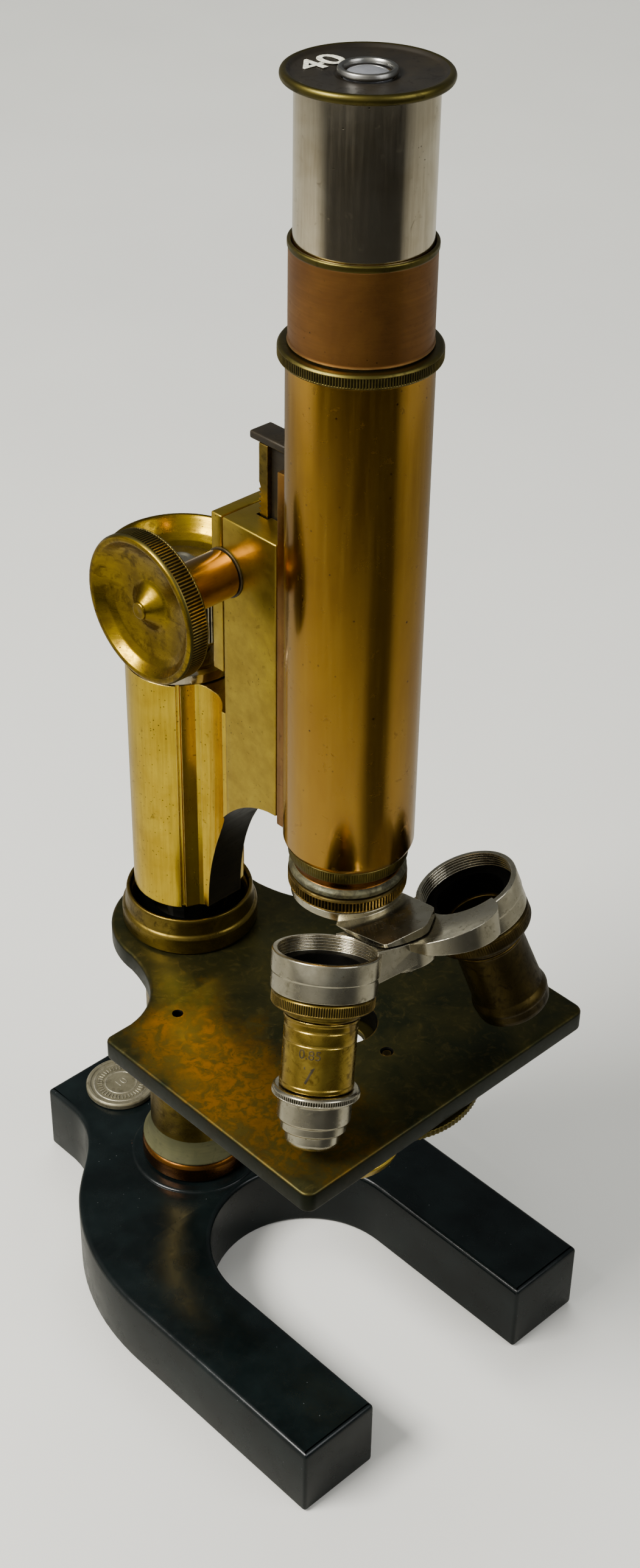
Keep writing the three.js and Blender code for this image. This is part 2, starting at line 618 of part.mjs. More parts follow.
// ---------------------------------------------------------------- objectives
// Heights are below the socket's rim.
function objective(prefix, turnDeg, parts) {
  const frame = socketFrame(turnDeg);
  for (const [suffix, profile, material, segments] of parts) {
    const solid = turned(profile.map(([r, depth]) => [r, -depth]), segments);
    node(`${prefix}_${suffix}`, place(solid, frame), material);
  }
}

objective('objective_a', nose.socketA, [
  ['collar', [[7.6, 3.2], [9.85, 3.2], [9.85, 8.6], [10.6, 8.6], [10.9, 8.9], [10.9, 11.4], [10.4, 11.8],
    [8.3, 12.1], [8.3, 13.4], [6.8, 13.4], [6.8, 9], [7.6, 9]], look.brownBrass, 24],
  ['barrel', [[6.6, 13.7], [7.9, 13.7], [7.75, 14.5], [7.75, 29.1], [6.6, 29.1]], look.yellowBrass, 24],
  ['nose', [[4.9, 29.4], [8.9, 29.4], [9.3, 30], [9.3, 31.1], [8.8, 31.7], [7.8, 31.9], [7.7, 36.6], [7, 37.1],
    [7, 38.8], [5.8, 40.4], [5.5, 41.8], [4.8, 42.6], [2.6, 42.6], [2.6, 41.6], [4.9, 38.4]], look.nickel, 24],
  ['lens', [[0, 40], [2.3, 40], [2.3, 42], [0, 42.3]], look.glass, 12],
]);
objective('objective_b', nose.socketB, [
  ['collar', [[7.6, 3.2], [9.85, 3.2], [9.85, 8.6], [10.8, 8.6], [11.2, 9.2], [11.2, 11.9], [10.6, 12.9],
    [8.4, 13.4], [8.4, 14.8], [6.8, 14.8], [6.8, 9], [7.6, 9]], look.brownBrass, 24],
  ['barrel', [[6.6, 15.1], [8, 15.1], [7.8, 16], [8.1, 28.7], [8.7, 30.5], [8.5, 33], [8, 34.8],
    [5.4, 34.9], [4.6, 33.9], [4.6, 32.3], [6.6, 30.9]], look.brownBrass, 24],
  ['lens', [[0, 31.3], [4.1, 31.3], [4.1, 33.3], [0, 33.9]], look.glass, 12],
]);

export default stand;
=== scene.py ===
"""Brass compound microscope: the looks of every piece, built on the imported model."""
import json
import math

import bmesh
import bpy
from mathutils import Matrix, Vector


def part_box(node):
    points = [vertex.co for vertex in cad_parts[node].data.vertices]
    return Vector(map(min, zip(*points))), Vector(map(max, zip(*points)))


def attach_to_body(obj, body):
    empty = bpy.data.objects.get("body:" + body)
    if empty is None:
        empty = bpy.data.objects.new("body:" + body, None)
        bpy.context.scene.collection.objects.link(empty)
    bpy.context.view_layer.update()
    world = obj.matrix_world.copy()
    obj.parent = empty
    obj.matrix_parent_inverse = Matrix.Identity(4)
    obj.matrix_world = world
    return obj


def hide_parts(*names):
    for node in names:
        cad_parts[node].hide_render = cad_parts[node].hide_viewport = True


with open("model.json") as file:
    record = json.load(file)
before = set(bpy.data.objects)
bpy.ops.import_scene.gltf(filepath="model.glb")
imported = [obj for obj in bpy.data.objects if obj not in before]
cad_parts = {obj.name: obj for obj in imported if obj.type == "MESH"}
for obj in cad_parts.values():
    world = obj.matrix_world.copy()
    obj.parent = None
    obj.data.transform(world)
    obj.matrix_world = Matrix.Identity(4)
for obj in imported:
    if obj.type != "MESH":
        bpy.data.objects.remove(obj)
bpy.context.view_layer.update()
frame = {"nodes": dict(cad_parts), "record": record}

MM = 0.001
ROUND = 160  # facets of a turned piece
AUTO_SMOOTH = math.radians(32)


# ---------------------------------------------------------------- places from the frame
def centre(node):
    low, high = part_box(node)
    return (Vector(low) + Vector(high)) / 2


def joint(name):
    return next(j for j in frame["record"]["behaviour"]["joints"] if j["name"] == name)


tube_y = centre("drawtube").y / MM
pillar_y = centre("pillar").y / MM
FRONT = -tube_y  # CAD outlines are drawn from the tube axis, so y is shifted by this much


# ---------------------------------------------------------------- meshes
def shade(piece, angle=AUTO_SMOOTH):
    piece.data.shade_smooth()
    piece.data.set_sharp_from_angle(angle=angle)


def new_piece(name, vertices, faces, *materials, picks=None):
    """A mesh in millimetres, stored in metres with its origin at the row frame's.
    picks holds the number of each face's material."""
    mesh = bpy.data.meshes.new(name)
    mesh.from_pydata([Vector(v) * MM for v in vertices], [], faces)
    for material in materials:
        mesh.materials.append(material)
    if picks:
        mesh.polygons.foreach_set("material_index", picks)
    piece = bpy.data.objects.new(name, mesh)
    bpy.context.scene.collection.objects.link(piece)
    tidy = bmesh.new()
    tidy.from_mesh(mesh)
    bmesh.ops.remove_doubles(tidy, verts=tidy.verts, dist=1e-7)
    bmesh.ops.recalc_face_normals(tidy, faces=tidy.faces)
    tidy.to_mesh(mesh)
    tidy.free()
    shade(piece)
    return piece


def rounded(points, radius, closed=True, steps=3):
    """The outline with each corner turned into a short arc that fits its two edges."""
    result = []
    count = len(points)
    for i, point in enumerate(points):
        here = Vector(point[:2])
        if not closed and i in (0, count - 1):
            result.append(here)
            continue
        before = Vector(points[i - 1][:2])
        after = Vector(points[(i + 1) % count][:2])
        into, out = (before - here), (after - here)
        reach = min(radius, into.length * 0.45, out.length * 0.45)
        if reach < 0.02 or into.normalized().dot(out.normalized()) < -0.98:
            result.append(here)
            continue
        start = here + into.normalized() * reach
        end = here + out.normalized() * reach
        for k in range(steps + 1):
            t = k / steps
            result.append(start * (1 - t) ** 2 + here * 2 * t * (1 - t) + end * t ** 2)
    return result


def turned(name, profile, material, matrix=None, at=None, soft=0.18, segments=ROUND, ripple=None, bands=()):
    """A solid of revolution about Z from [radius, height] points.
    ripple is (low, high, count, depth, groove material): teeth cut into the outside between two heights, with the
    groove material laid into the grooves as painted shade.
    bands are (material, test of radius and height): the first that a stretch of the profile passes."""
    on_axis = profile[0][0] == 0 and profile[-1][0] == 0
    outline = rounded(profile, soft, closed=not on_axis)
    materials = [material] + [band[0] for band in bands]
    toothed = [False] * len(outline)
    if ripple:
        low, high, count, depth, groove_shade = ripple
        segments = count * 4
        materials.append(groove_shade)
        outline, toothed = with_teeth(outline, low, high, on_axis)
    vertices, faces, picks, rows = [], [], [], []
    for p, tooth in zip(outline, toothed):
        if p.x < 1e-6:
            rows.append([len(vertices)])
            vertices.append((0, 0, p.y))
            continue
        row = []
        for k in range(segments):
            angle = 2 * math.pi * k / segments
            r = p.x - (depth * (0, 0.5, 1, 0.5)[k % 4] if tooth else 0)
            row.append(len(vertices))
            vertices.append((r * math.cos(angle), r * math.sin(angle), p.y))
        rows.append(row)
    last = len(rows) - 1 if on_axis else len(rows)
    for i in range(last):
        a, b = rows[i], rows[(i + 1) % len(rows)]
        p, q = outline[i], outline[(i + 1) % len(rows)]
        if len(a) == 1 and len(b) == 1:
            continue
        middle = (p + q) / 2
        pick = next((n + 1 for n, band in enumerate(bands) if band[1](middle.x, middle.y)), 0)
        in_shaded_groove = toothed[i] and toothed[(i + 1) % len(rows)]
        for k in range(segments):
            n = (k + 1) % segments
            if len(a) == 1:
                faces.append((a[0], b[k], b[n]))
            elif len(b) == 1:
                faces.append((a[k], a[n], b[0]))
            else:
                faces.append((a[k], a[n], b[n], b[k]))
            # painted shade: the two deepest quarters of each tooth take the dark groove material
            picks.append(len(materials) - 1 if in_shaded_groove and k % 4 in (1, 2) else pick)
    if at is not None:
        matrix = Matrix.Translation((at[0], at[1], 0))
    if matrix is not None:
        vertices = [matrix @ Vector(v) for v in vertices]
    return new_piece(name, vertices, faces, *materials, picks=picks)


def with_teeth(outline, low, high, on_axis):
    """The outline with the ends of its toothed band added, and which of its points lie on the band."""
    reach = max(p.x for p in outline if low - 0.3 <= p.y <= high + 0.3)
    points, toothed = [], []
    count = len(outline)
    for i, p in enumerate(outline):
        q = outline[(i + 1) % count]
        points.append(p)
        toothed.append(low <= p.y <= high and p.x > reach - 0.1)
        if on_axis and i == count - 1 or abs(p.x - q.x) > 0.05 or p.x < reach - 0.1:
            continue
        rising = q.y > p.y
        for z in (low, high) if rising else (high, low):
            if min(p.y, q.y) + 0.03 < z < max(p.y, q.y) - 0.03:
                inside, outside = Vector((p.x, z)), Vector((p.x, z + (0.02 if z == high else -0.02)))
                pair = [(inside, True), (outside, False)]
                if (z == low) == rising:
                    pair.reverse()
                for point, tooth in pair:
                    points.append(point)
                    toothed.append(tooth)
    return points, toothed


def plate(name, loops, low, high, bevel, material, matrix=None):
    """A flat plate between two heights with round edges. The first loop is its outline, the rest are holes."""
    curve = bpy.data.curves.new(name, "CURVE")
    curve.dimensions = "2D"
    curve.fill_mode = "BOTH"
    curve.extrude = (high - low) / 2 - bevel
    curve.bevel_depth = bevel
    curve.bevel_resolution = 3
    curve.offset = -bevel
    for loop in loops:
        spline = curve.splines.new("POLY")
        spline.points.add(len(loop) - 1)
        spline.use_cyclic_u = True
        for target, p in zip(spline.points, loop):
            target.co = (p[0], p[1], 0, 1)
    draft = bpy.data.objects.new(name + "_draft", curve)
    bpy.context.scene.collection.objects.link(draft)
    bpy.context.view_layer.update()
    mesh = bpy.data.meshes.new_from_object(draft.evaluated_get(bpy.context.evaluated_depsgraph_get()))
    lift = Matrix.Translation((0, 0, (low + high) / 2))
    place = (matrix or Matrix.Identity(4)) @ lift
    vertices = [place @ v.co for v in mesh.vertices]
    faces = [tuple(p.vertices) for p in mesh.polygons]
    bpy.data.objects.remove(draft)
    return new_piece(name, vertices, faces, material)


def circle(radius, x=0.0, y=0.0, count=64):
    step = 2 * math.pi / count
    return [Vector((x + radius * math.cos(i * step), y + radius * math.sin(i * step))) for i in range(count)]


def arc(radius, x, y, first, last, count=24):
    angles = [math.radians(first + (last - first) * i / count) for i in range(count + 1)]
    return [Vector((x + radius * math.cos(a), y + radius * math.sin(a))) for a in angles]


def curve_to(start, control, end, count=14):
    start, control, end = Vector(start), Vector(control), Vector(end)
    steps = [i / count for i in range(1, count + 1)]
    return [start * (1 - t) ** 2 + control * 2 * t * (1 - t) + end * t ** 2 for t in steps]


def cubic_to(start, first, second, end, count=16):
    a, b, c, d = Vector(start), Vector(first), Vector(second), Vector(end)
    steps = [i / count for i in range(1, count + 1)]
    return [a * (1 - t) ** 3 + b * 3 * t * (1 - t) ** 2 + c * 3 * t * t * (1 - t) + d * t ** 3 for t in steps]


def prism_x(name, outline, x0, x1, material):
    """A bar along X with the outline given as [y, z] points."""
    count = len(outline)
    vertices = [(x0, p[0], p[1]) for p in outline] + [(x1, p[0], p[1]) for p in outline]
    faces = [(i, (i + 1) % count, count + (i + 1) % count, count + i) for i in range(count)]
    faces += [tuple(range(count))[::-1], tuple(range(count, 2 * count))]
    return new_piece(name, vertices, faces, material)


def block_of(name, x0, x1, y0, y1, z0, z1, material, bevel=0.0, matrix=None):
    corners = [(x, y, z) for x in (x0, x1) for y in (y0, y1) for z in (z0, z1)]
    faces = [(0, 1, 3, 2), (4, 6, 7, 5), (0, 4, 5, 1), (2, 3, 7, 6), (0, 2, 6, 4), (1, 5, 7, 3)]
    if matrix is not None:
        corners = [matrix @ Vector(c) for c in corners]
    piece = new_piece(name, corners, faces, material)
    if bevel:
        soften(piece, bevel)
    return piece


def baked(piece):
    """Applies the piece's modifiers to its mesh."""
    bpy.context.view_layer.update()
    graph = bpy.context.evaluated_depsgraph_get()
    mesh = bpy.data.meshes.new_from_object(piece.evaluated_get(graph))
    piece.modifiers.clear()
    piece.data = mesh
    shade(piece)
    return piece


def soften(piece, width, segments=3):
    modifier = piece.modifiers.new("soften", "BEVEL")
    modifier.width = width * MM
    modifier.segments = segments
    modifier.limit_method = "ANGLE"
    modifier.angle_limit = math.radians(40)
    return baked(piece)


def combine(piece, tool, operation):
    """Boolean of two pieces. Faces that the tool leaves keep the tool's material."""
    modifier = piece.modifiers.new("combine", "BOOLEAN")
    modifier.operation = operation
    modifier.object = tool
    modifier.solver = "EXACT"
    modifier.material_mode = "TRANSFER"
    baked(piece)
    bpy.data.objects.remove(tool)
    return piece


def cut(piece, *tools):
    for tool in tools:
        combine(piece, tool, "DIFFERENCE")
    return piece


def join(piece, *tools):
    for tool in tools:
        combine(piece, tool, "UNION")
    return piece


def attach(piece, body, *nodes, slot=None):
    if nodes:
        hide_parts(*nodes)
    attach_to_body(piece, body)
    return piece


def toward(axis):
    """The rotation that takes +Z to a direction."""
    return Vector((0, 0, 1)).rotation_difference(Vector(axis)).to_matrix().to_4x4()


# ---------------------------------------------------------------- materials
class Finish:
    """A node material that is built step by step on one Principled shader."""

    def __init__(self, name):
        self.material = bpy.data.materials.new(name)
        self.material.use_nodes = True
        self.tree = self.material.node_tree
        self.shader = self.tree.nodes["Principled BSDF"]
        self.coords = self.node("ShaderNodeTexCoord").outputs["Object"]

    def node(self, kind, **settings):
        made = self.tree.nodes.new(kind)
        for key, value in settings.items():
            setattr(made, key, value)
        return made

    def feed(self, socket, value):
        if isinstance(value, bpy.types.NodeSocket):
            self.tree.links.new(value, socket)
        elif isinstance(value, tuple) and len(value) == 3 and len(socket.default_value) == 4:
            socket.default_value = (*value, 1)
        else:
            socket.default_value = value

    def scaled(self, stretch):
        made = self.node("ShaderNodeMapping")
        self.feed(made.inputs["Vector"], self.coords)
        made.inputs["Scale"].default_value = stretch
        return made.outputs["Vector"]

    def noise(self, size, detail=4.0, rough=0.55, stretch=None, twist=0.0, seed=0.0):
        """Noise with features of about the given size in millimetres."""
        made = self.node("ShaderNodeTexNoise", noise_dimensions="4D")
        self.feed(made.inputs["Vector"], self.scaled(stretch) if stretch else self.coords)
        made.inputs["W"].default_value = seed
        made.inputs["Scale"].default_value = 1 / (size * MM)
        made.inputs["Detail"].default_value = detail
        made.inputs["Roughness"].default_value = rough
        made.inputs["Distortion"].default_value = twist
        return made.outputs["Fac"]

    def cells(self, size, stretch=None):
        made = self.node("ShaderNodeTexVoronoi", feature="F1")
        self.feed(made.inputs["Vector"], self.scaled(stretch) if stretch else self.coords)
        made.inputs["Scale"].default_value = 1 / (size * MM)
        return made.outputs["Distance"]

    def math(self, operation, a, b=0.0, clamp=False):
        made = self.node("ShaderNodeMath", operation=operation, use_clamp=clamp)
        self.feed(made.inputs[0], a)
        self.feed(made.inputs[1], b)
        return made.outputs[0]

    def span(self, value, low, high, to_low=0.0, to_high=1.0):
        made = self.node("ShaderNodeMapRange", clamp=True)
        self.feed(made.inputs["Value"], value)
        for key, number in zip(("From Min", "From Max", "To Min", "To Max"), (low, high, to_low, to_high)):
            made.inputs[key].default_value = number
        return made.outputs["Result"]

    def mix(self, factor, a, b):
        made = self.node("ShaderNodeMix", data_type="RGBA")
        self.feed(made.inputs[0], factor)
        self.feed(made.inputs[6], a)
        self.feed(made.inputs[7], b)
        return made.outputs[2]

    def axis(self, name):
        made = self.node("ShaderNodeSeparateXYZ")
        self.feed(made.inputs[0], self.coords)
        return made.outputs[name]

    def edges(self, radius):
        """1 along sharp edges and 0 on open faces."""
        bevel = self.node("ShaderNodeBevel", samples=4)
        bevel.inputs["Radius"].default_value = radius * MM
        geometry = self.node("ShaderNodeNewGeometry")
        dot = self.node("ShaderNodeVectorMath", operation="DOT_PRODUCT")
        self.feed(dot.inputs[0], bevel.outputs[0])
        self.feed(dot.inputs[1], geometry.outputs["Normal"])
        return self.span(dot.outputs["Value"], 0.995, 0.86)

    def bump(self, height, strength, depth=0.05):
        """Raises the surface by the height times a depth in millimetres, over softly rounded edges."""
        soft = self.node("ShaderNodeBevel", samples=4)
        soft.inputs["Radius"].default_value = 0.22 * MM
        made = self.node("ShaderNodeBump")
        made.inputs["Strength"].default_value = strength
        made.inputs["Distance"].default_value = depth * MM
        self.feed(made.inputs["Height"], height)
        self.feed(made.inputs["Normal"], soft.outputs[0])
        self.feed(self.shader.inputs["Normal"], made.outputs[0])

    def set(self, **values):
        for key, value in values.items():
            self.feed(self.shader.inputs[key.replace("_", " ")], value)
        return self


TURNED = (0.06, 0.06, 1.0)  # stretch that draws noise out around a turned piece
DRAWN = (1.0, 1.0, 0.05)  # and along its length


def metal(name, base, tone, stain, rough=(0.2, 0.35), stain_at=(0.55, 0.7), specks=0.0, wear=None,
          wear_amount=0.6, grain=TURNED, blotch=9.0, coat=0.0, metallic=1.0, scratches=0.35):
    """Old metal: two tones in broad patches, stains, pits, worn edges and fine tool marks."""
    made = Finish(name)
    broad = made.noise(blotch, 3, 0.6, twist=0.6)
    fine = made.noise(0.7, 5, 0.65, stretch=grain, seed=3)
    colour = made.mix(made.span(broad, 0.35, 0.68), base, tone)
    colour = made.mix(made.math("MULTIPLY", made.span(fine, 0.35, 0.75), 0.35), colour, stain)
    dirt = made.noise(2.6, 6, 0.68, twist=0.9, seed=7)
    stained = made.span(dirt, *stain_at)
    colour = made.mix(made.math("MULTIPLY", stained, 0.75), colour, stain)
    pits = None
    if specks:
        near = made.span(made.cells(1.1), 0.16, 0.09)
        sparse = made.span(made.noise(6, 3, 0.7, seed=11), 0.62 - specks * 0.2, 0.68 - specks * 0.2)
        pits = made.math("MULTIPLY", near, sparse)
        colour = made.mix(pits, colour, tuple(c * 0.22 for c in stain))
    if wear:
        rubbed = made.math("MULTIPLY", made.edges(0.55), made.span(made.noise(1.5, 4, seed=5), 0.3, 0.6))
        colour = made.mix(made.math("MULTIPLY", rubbed, wear_amount), colour, wear)
    marks = made.noise(0.25, 3, 0.7, stretch=grain, seed=9)
    roughness = made.math("ADD", made.span(fine, 0.3, 0.8, rough[0], rough[1]),
                          made.math("MULTIPLY", stained, 0.16))
    made.set(Base_Color=colour, Roughness=roughness, Metallic=metallic)
    if coat:
        made.set(Coat_Weight=coat, Coat_Roughness=0.12)
    height = made.math("ADD", made.math("MULTIPLY", marks, 0.5), made.math("MULTIPLY", dirt, -0.4))
    if pits is not None:
        height = made.math("SUBTRACT", height, made.math("MULTIPLY", pits, 1.5))
    made.bump(height, scratches, 0.04)
    return made.material


def lacquered_brass():
    """The body tube: golden lacquer drawn along the tube, darker specks, worn pale streaks, and painted light that
    brightens its lower end.
    """
    made = Finish("lacquered_brass")
    broad = made.noise(14, 4, 0.6, stretch=(1, 1, 0.35), twist=0.8)
    colour = made.mix(made.span(broad, 0.35, 0.7), (0.46, 0.245, 0.016), (0.34, 0.165, 0.010))
    streak = made.noise(1.6, 4, 0.6, stretch=DRAWN, seed=2)
    colour = made.mix(made.math("MULTIPLY", made.span(streak, 0.5, 0.75), 0.45), colour, (0.56, 0.33, 0.035))
    # painted light: the tube is lightened towards its lower end
    painted_light_low_end = made.span(made.axis("Z"), 0.20, 0.155)
    colour = made.mix(made.math("MULTIPLY", painted_light_low_end, 0.35), colour, (0.50, 0.29, 0.05))
    clouds = made.noise(3.0, 6, 0.7, twist=1.2, seed=4)
    stained = made.span(clouds, 0.60, 0.72)
    colour = made.mix(made.math("MULTIPLY", stained, 0.6), colour, (0.11, 0.045, 0.006))
    near = made.span(made.cells(1.9), 0.15, 0.08)
    sparse = made.span(made.noise(9, 3, 0.7, seed=6), 0.52, 0.60)
    pits = made.math("MULTIPLY", near, sparse)
    colour = made.mix(pits, colour, (0.06, 0.03, 0.015))
    made.set(Base_Color=colour, Metallic=1.0, Coat_Weight=0.3, Coat_Roughness=0.1)
    made.set(Roughness=made.math("ADD", made.span(streak, 0.3, 0.8, 0.17, 0.30),
                                 made.math("MULTIPLY", stained, 0.2)))
    made.bump(made.math("SUBTRACT", made.math("MULTIPLY", clouds, -0.4), pits), 0.25, 0.03)
    return made.material


def stage_patina():
    """The stage: near-black green patina, rubbed back to orange metal in front of the clip hole, with painted shade
    making its upright sides near-black.
    """
    made = Finish("stage_patina")
    broad = made.noise(16, 5, 0.62, twist=0.7)
    colour = made.mix(made.span(broad, 0.38, 0.66), (0.020, 0.023, 0.010), (0.052, 0.046, 0.013))
    mottle = made.noise(3.2, 6, 0.7, seed=8, twist=1.4)
    colour = made.mix(made.math("MULTIPLY", made.span(mottle, 0.52, 0.72), 0.6), colour, (0.105, 0.080, 0.020))
    offset = made.node("ShaderNodeVectorMath", operation="SUBTRACT")
    made.feed(offset.inputs[0], made.coords)
    offset.inputs[1].default_value = (-31 * MM, tube_y * MM - 5 * MM, centre("stage").z)
    shaped = made.node("ShaderNodeVectorMath", operation="MULTIPLY")
    made.feed(shaped.inputs[0], offset.outputs[0])
    shaped.inputs[1].default_value = (1 / 0.017, 1 / 0.040, 0)
    length = made.node("ShaderNodeVectorMath", operation="LENGTH")
    made.feed(length.inputs[0], shaped.outputs[0])
    ragged = made.math("ADD", length.outputs["Value"],
                       made.math("MULTIPLY", made.math("SUBTRACT", made.noise(9, 6, 0.65, seed=1), 0.5), 3.0))
    rubbed = made.span(ragged, 1.15, 0.35)
    warm = made.mix(made.span(mottle, 0.45, 0.58), (0.128, 0.064, 0.002), (0.052, 0.043, 0.007))
    colour = made.mix(made.math("MULTIPLY", rubbed, 0.9), colour, warm)
    geometry = made.node("ShaderNodeNewGeometry")
    split = made.node("ShaderNodeSeparateXYZ")
    made.feed(split.inputs[0], geometry.outputs["Normal"])
    # painted shade: faces that stand upright are darkened to near black by the angle of their normals
    side = made.span(made.math("ABSOLUTE", split.outputs["Z"]), 0.75, 0.35)
    colour = made.mix(made.math("MULTIPLY", side, 0.9), colour, (0.006, 0.009, 0.005))
    edge = made.math("MULTIPLY", made.edges(0.7), made.span(made.noise(2.2, 4, seed=5), 0.40, 0.6))
    colour = made.mix(made.math("MULTIPLY", edge, 0.8), colour, (0.32, 0.165, 0.018))
    near = made.span(made.cells(1.3), 0.12, 0.06)
    pits = made.math("MULTIPLY", near, made.span(made.noise(8, 3, seed=12), 0.5, 0.6))
    colour = made.mix(pits, colour, (0.012, 0.011, 0.008))
    made.set(Base_Color=colour, Metallic=0.8, Specular_IOR_Level=0.15)
    made.set(Roughness=made.math("ADD", made.span(mottle, 0.3, 0.75, 0.30, 0.46),
                                 made.math("MULTIPLY", rubbed, 0.10)))
    made.bump(made.math("SUBTRACT", mottle, pits), 0.22, 0.04)
    return made.material


def black_enamel():
    """Stoved enamel: a deep gloss with dust in it, faint ripples, and bare metal at a few corners."""
    made = Finish("black_enamel")
    cloud = made.noise(12, 4, 0.6)
    colour = made.mix(made.span(cloud, 0.4, 0.7), (0.0020, 0.0034, 0.0034), (0.0046, 0.0078, 0.0078))
    chips = made.math("MULTIPLY", made.edges(0.8), made.span(made.noise(3.5, 5, 0.7, seed=4), 0.63, 0.66))
    colour = made.mix(chips, colour, (0.16, 0.085, 0.05))
    dust = made.math("MULTIPLY", made.span(made.cells(2.7), 0.055, 0.03), made.span(cloud, 0.45, 0.6))
    colour = made.mix(made.math("MULTIPLY", dust, 0.5), colour, (0.14, 0.15, 0.15))
    made.set(Base_Color=colour, IOR=1.42, Specular_IOR_Level=0.34)
    smear = made.noise(5, 5, 0.65, twist=1.0, seed=2)
    made.set(Roughness=made.span(smear, 0.35, 0.7, 0.17, 0.32))
    made.bump(made.noise(7, 3, 0.5, seed=6), 0.12, 0.12)
    return made.material


def glass(name, tint, rough=0.03):
    """Coated lens glass, with a faint film of dust."""
    made = Finish(name)
    film = made.noise(2.5, 5, 0.65)
    made.set(Base_Color=made.mix(made.span(film, 0.4, 0.75), tint, tuple(min(1, c * 1.3) for c in tint)))
    made.set(Roughness=made.span(film, 0.3, 0.8, rough, rough + 0.12), Metallic=0.0, IOR=1.52)
    made.shader.inputs["Transmission Weight"].default_value = 0.35
    return made.material


def mirror_silver():
    made = Finish("mirror_silver")
    film = made.noise(6, 5, 0.65)
    made.set(Base_Color=made.mix(made.span(film, 0.45, 0.75), (0.86, 0.88, 0.88), (0.62, 0.63, 0.60)))
    made.set(Roughness=made.span(film, 0.4, 0.8, 0.02, 0.16), Metallic=1.0)
    return made.material


def white_paint():
    made = Finish("white_paint")
    worn = made.noise(0.8, 5, 0.7)
    made.set(Base_Color=made.mix(made.span(worn, 0.42, 0.62), (0.72, 0.70, 0.58), (0.34, 0.32, 0.24)))
    made.set(Roughness=made.span(worn, 0.3, 0.8, 0.5, 0.75))
    made.bump(worn, 0.3, 0.05)
    return made.material


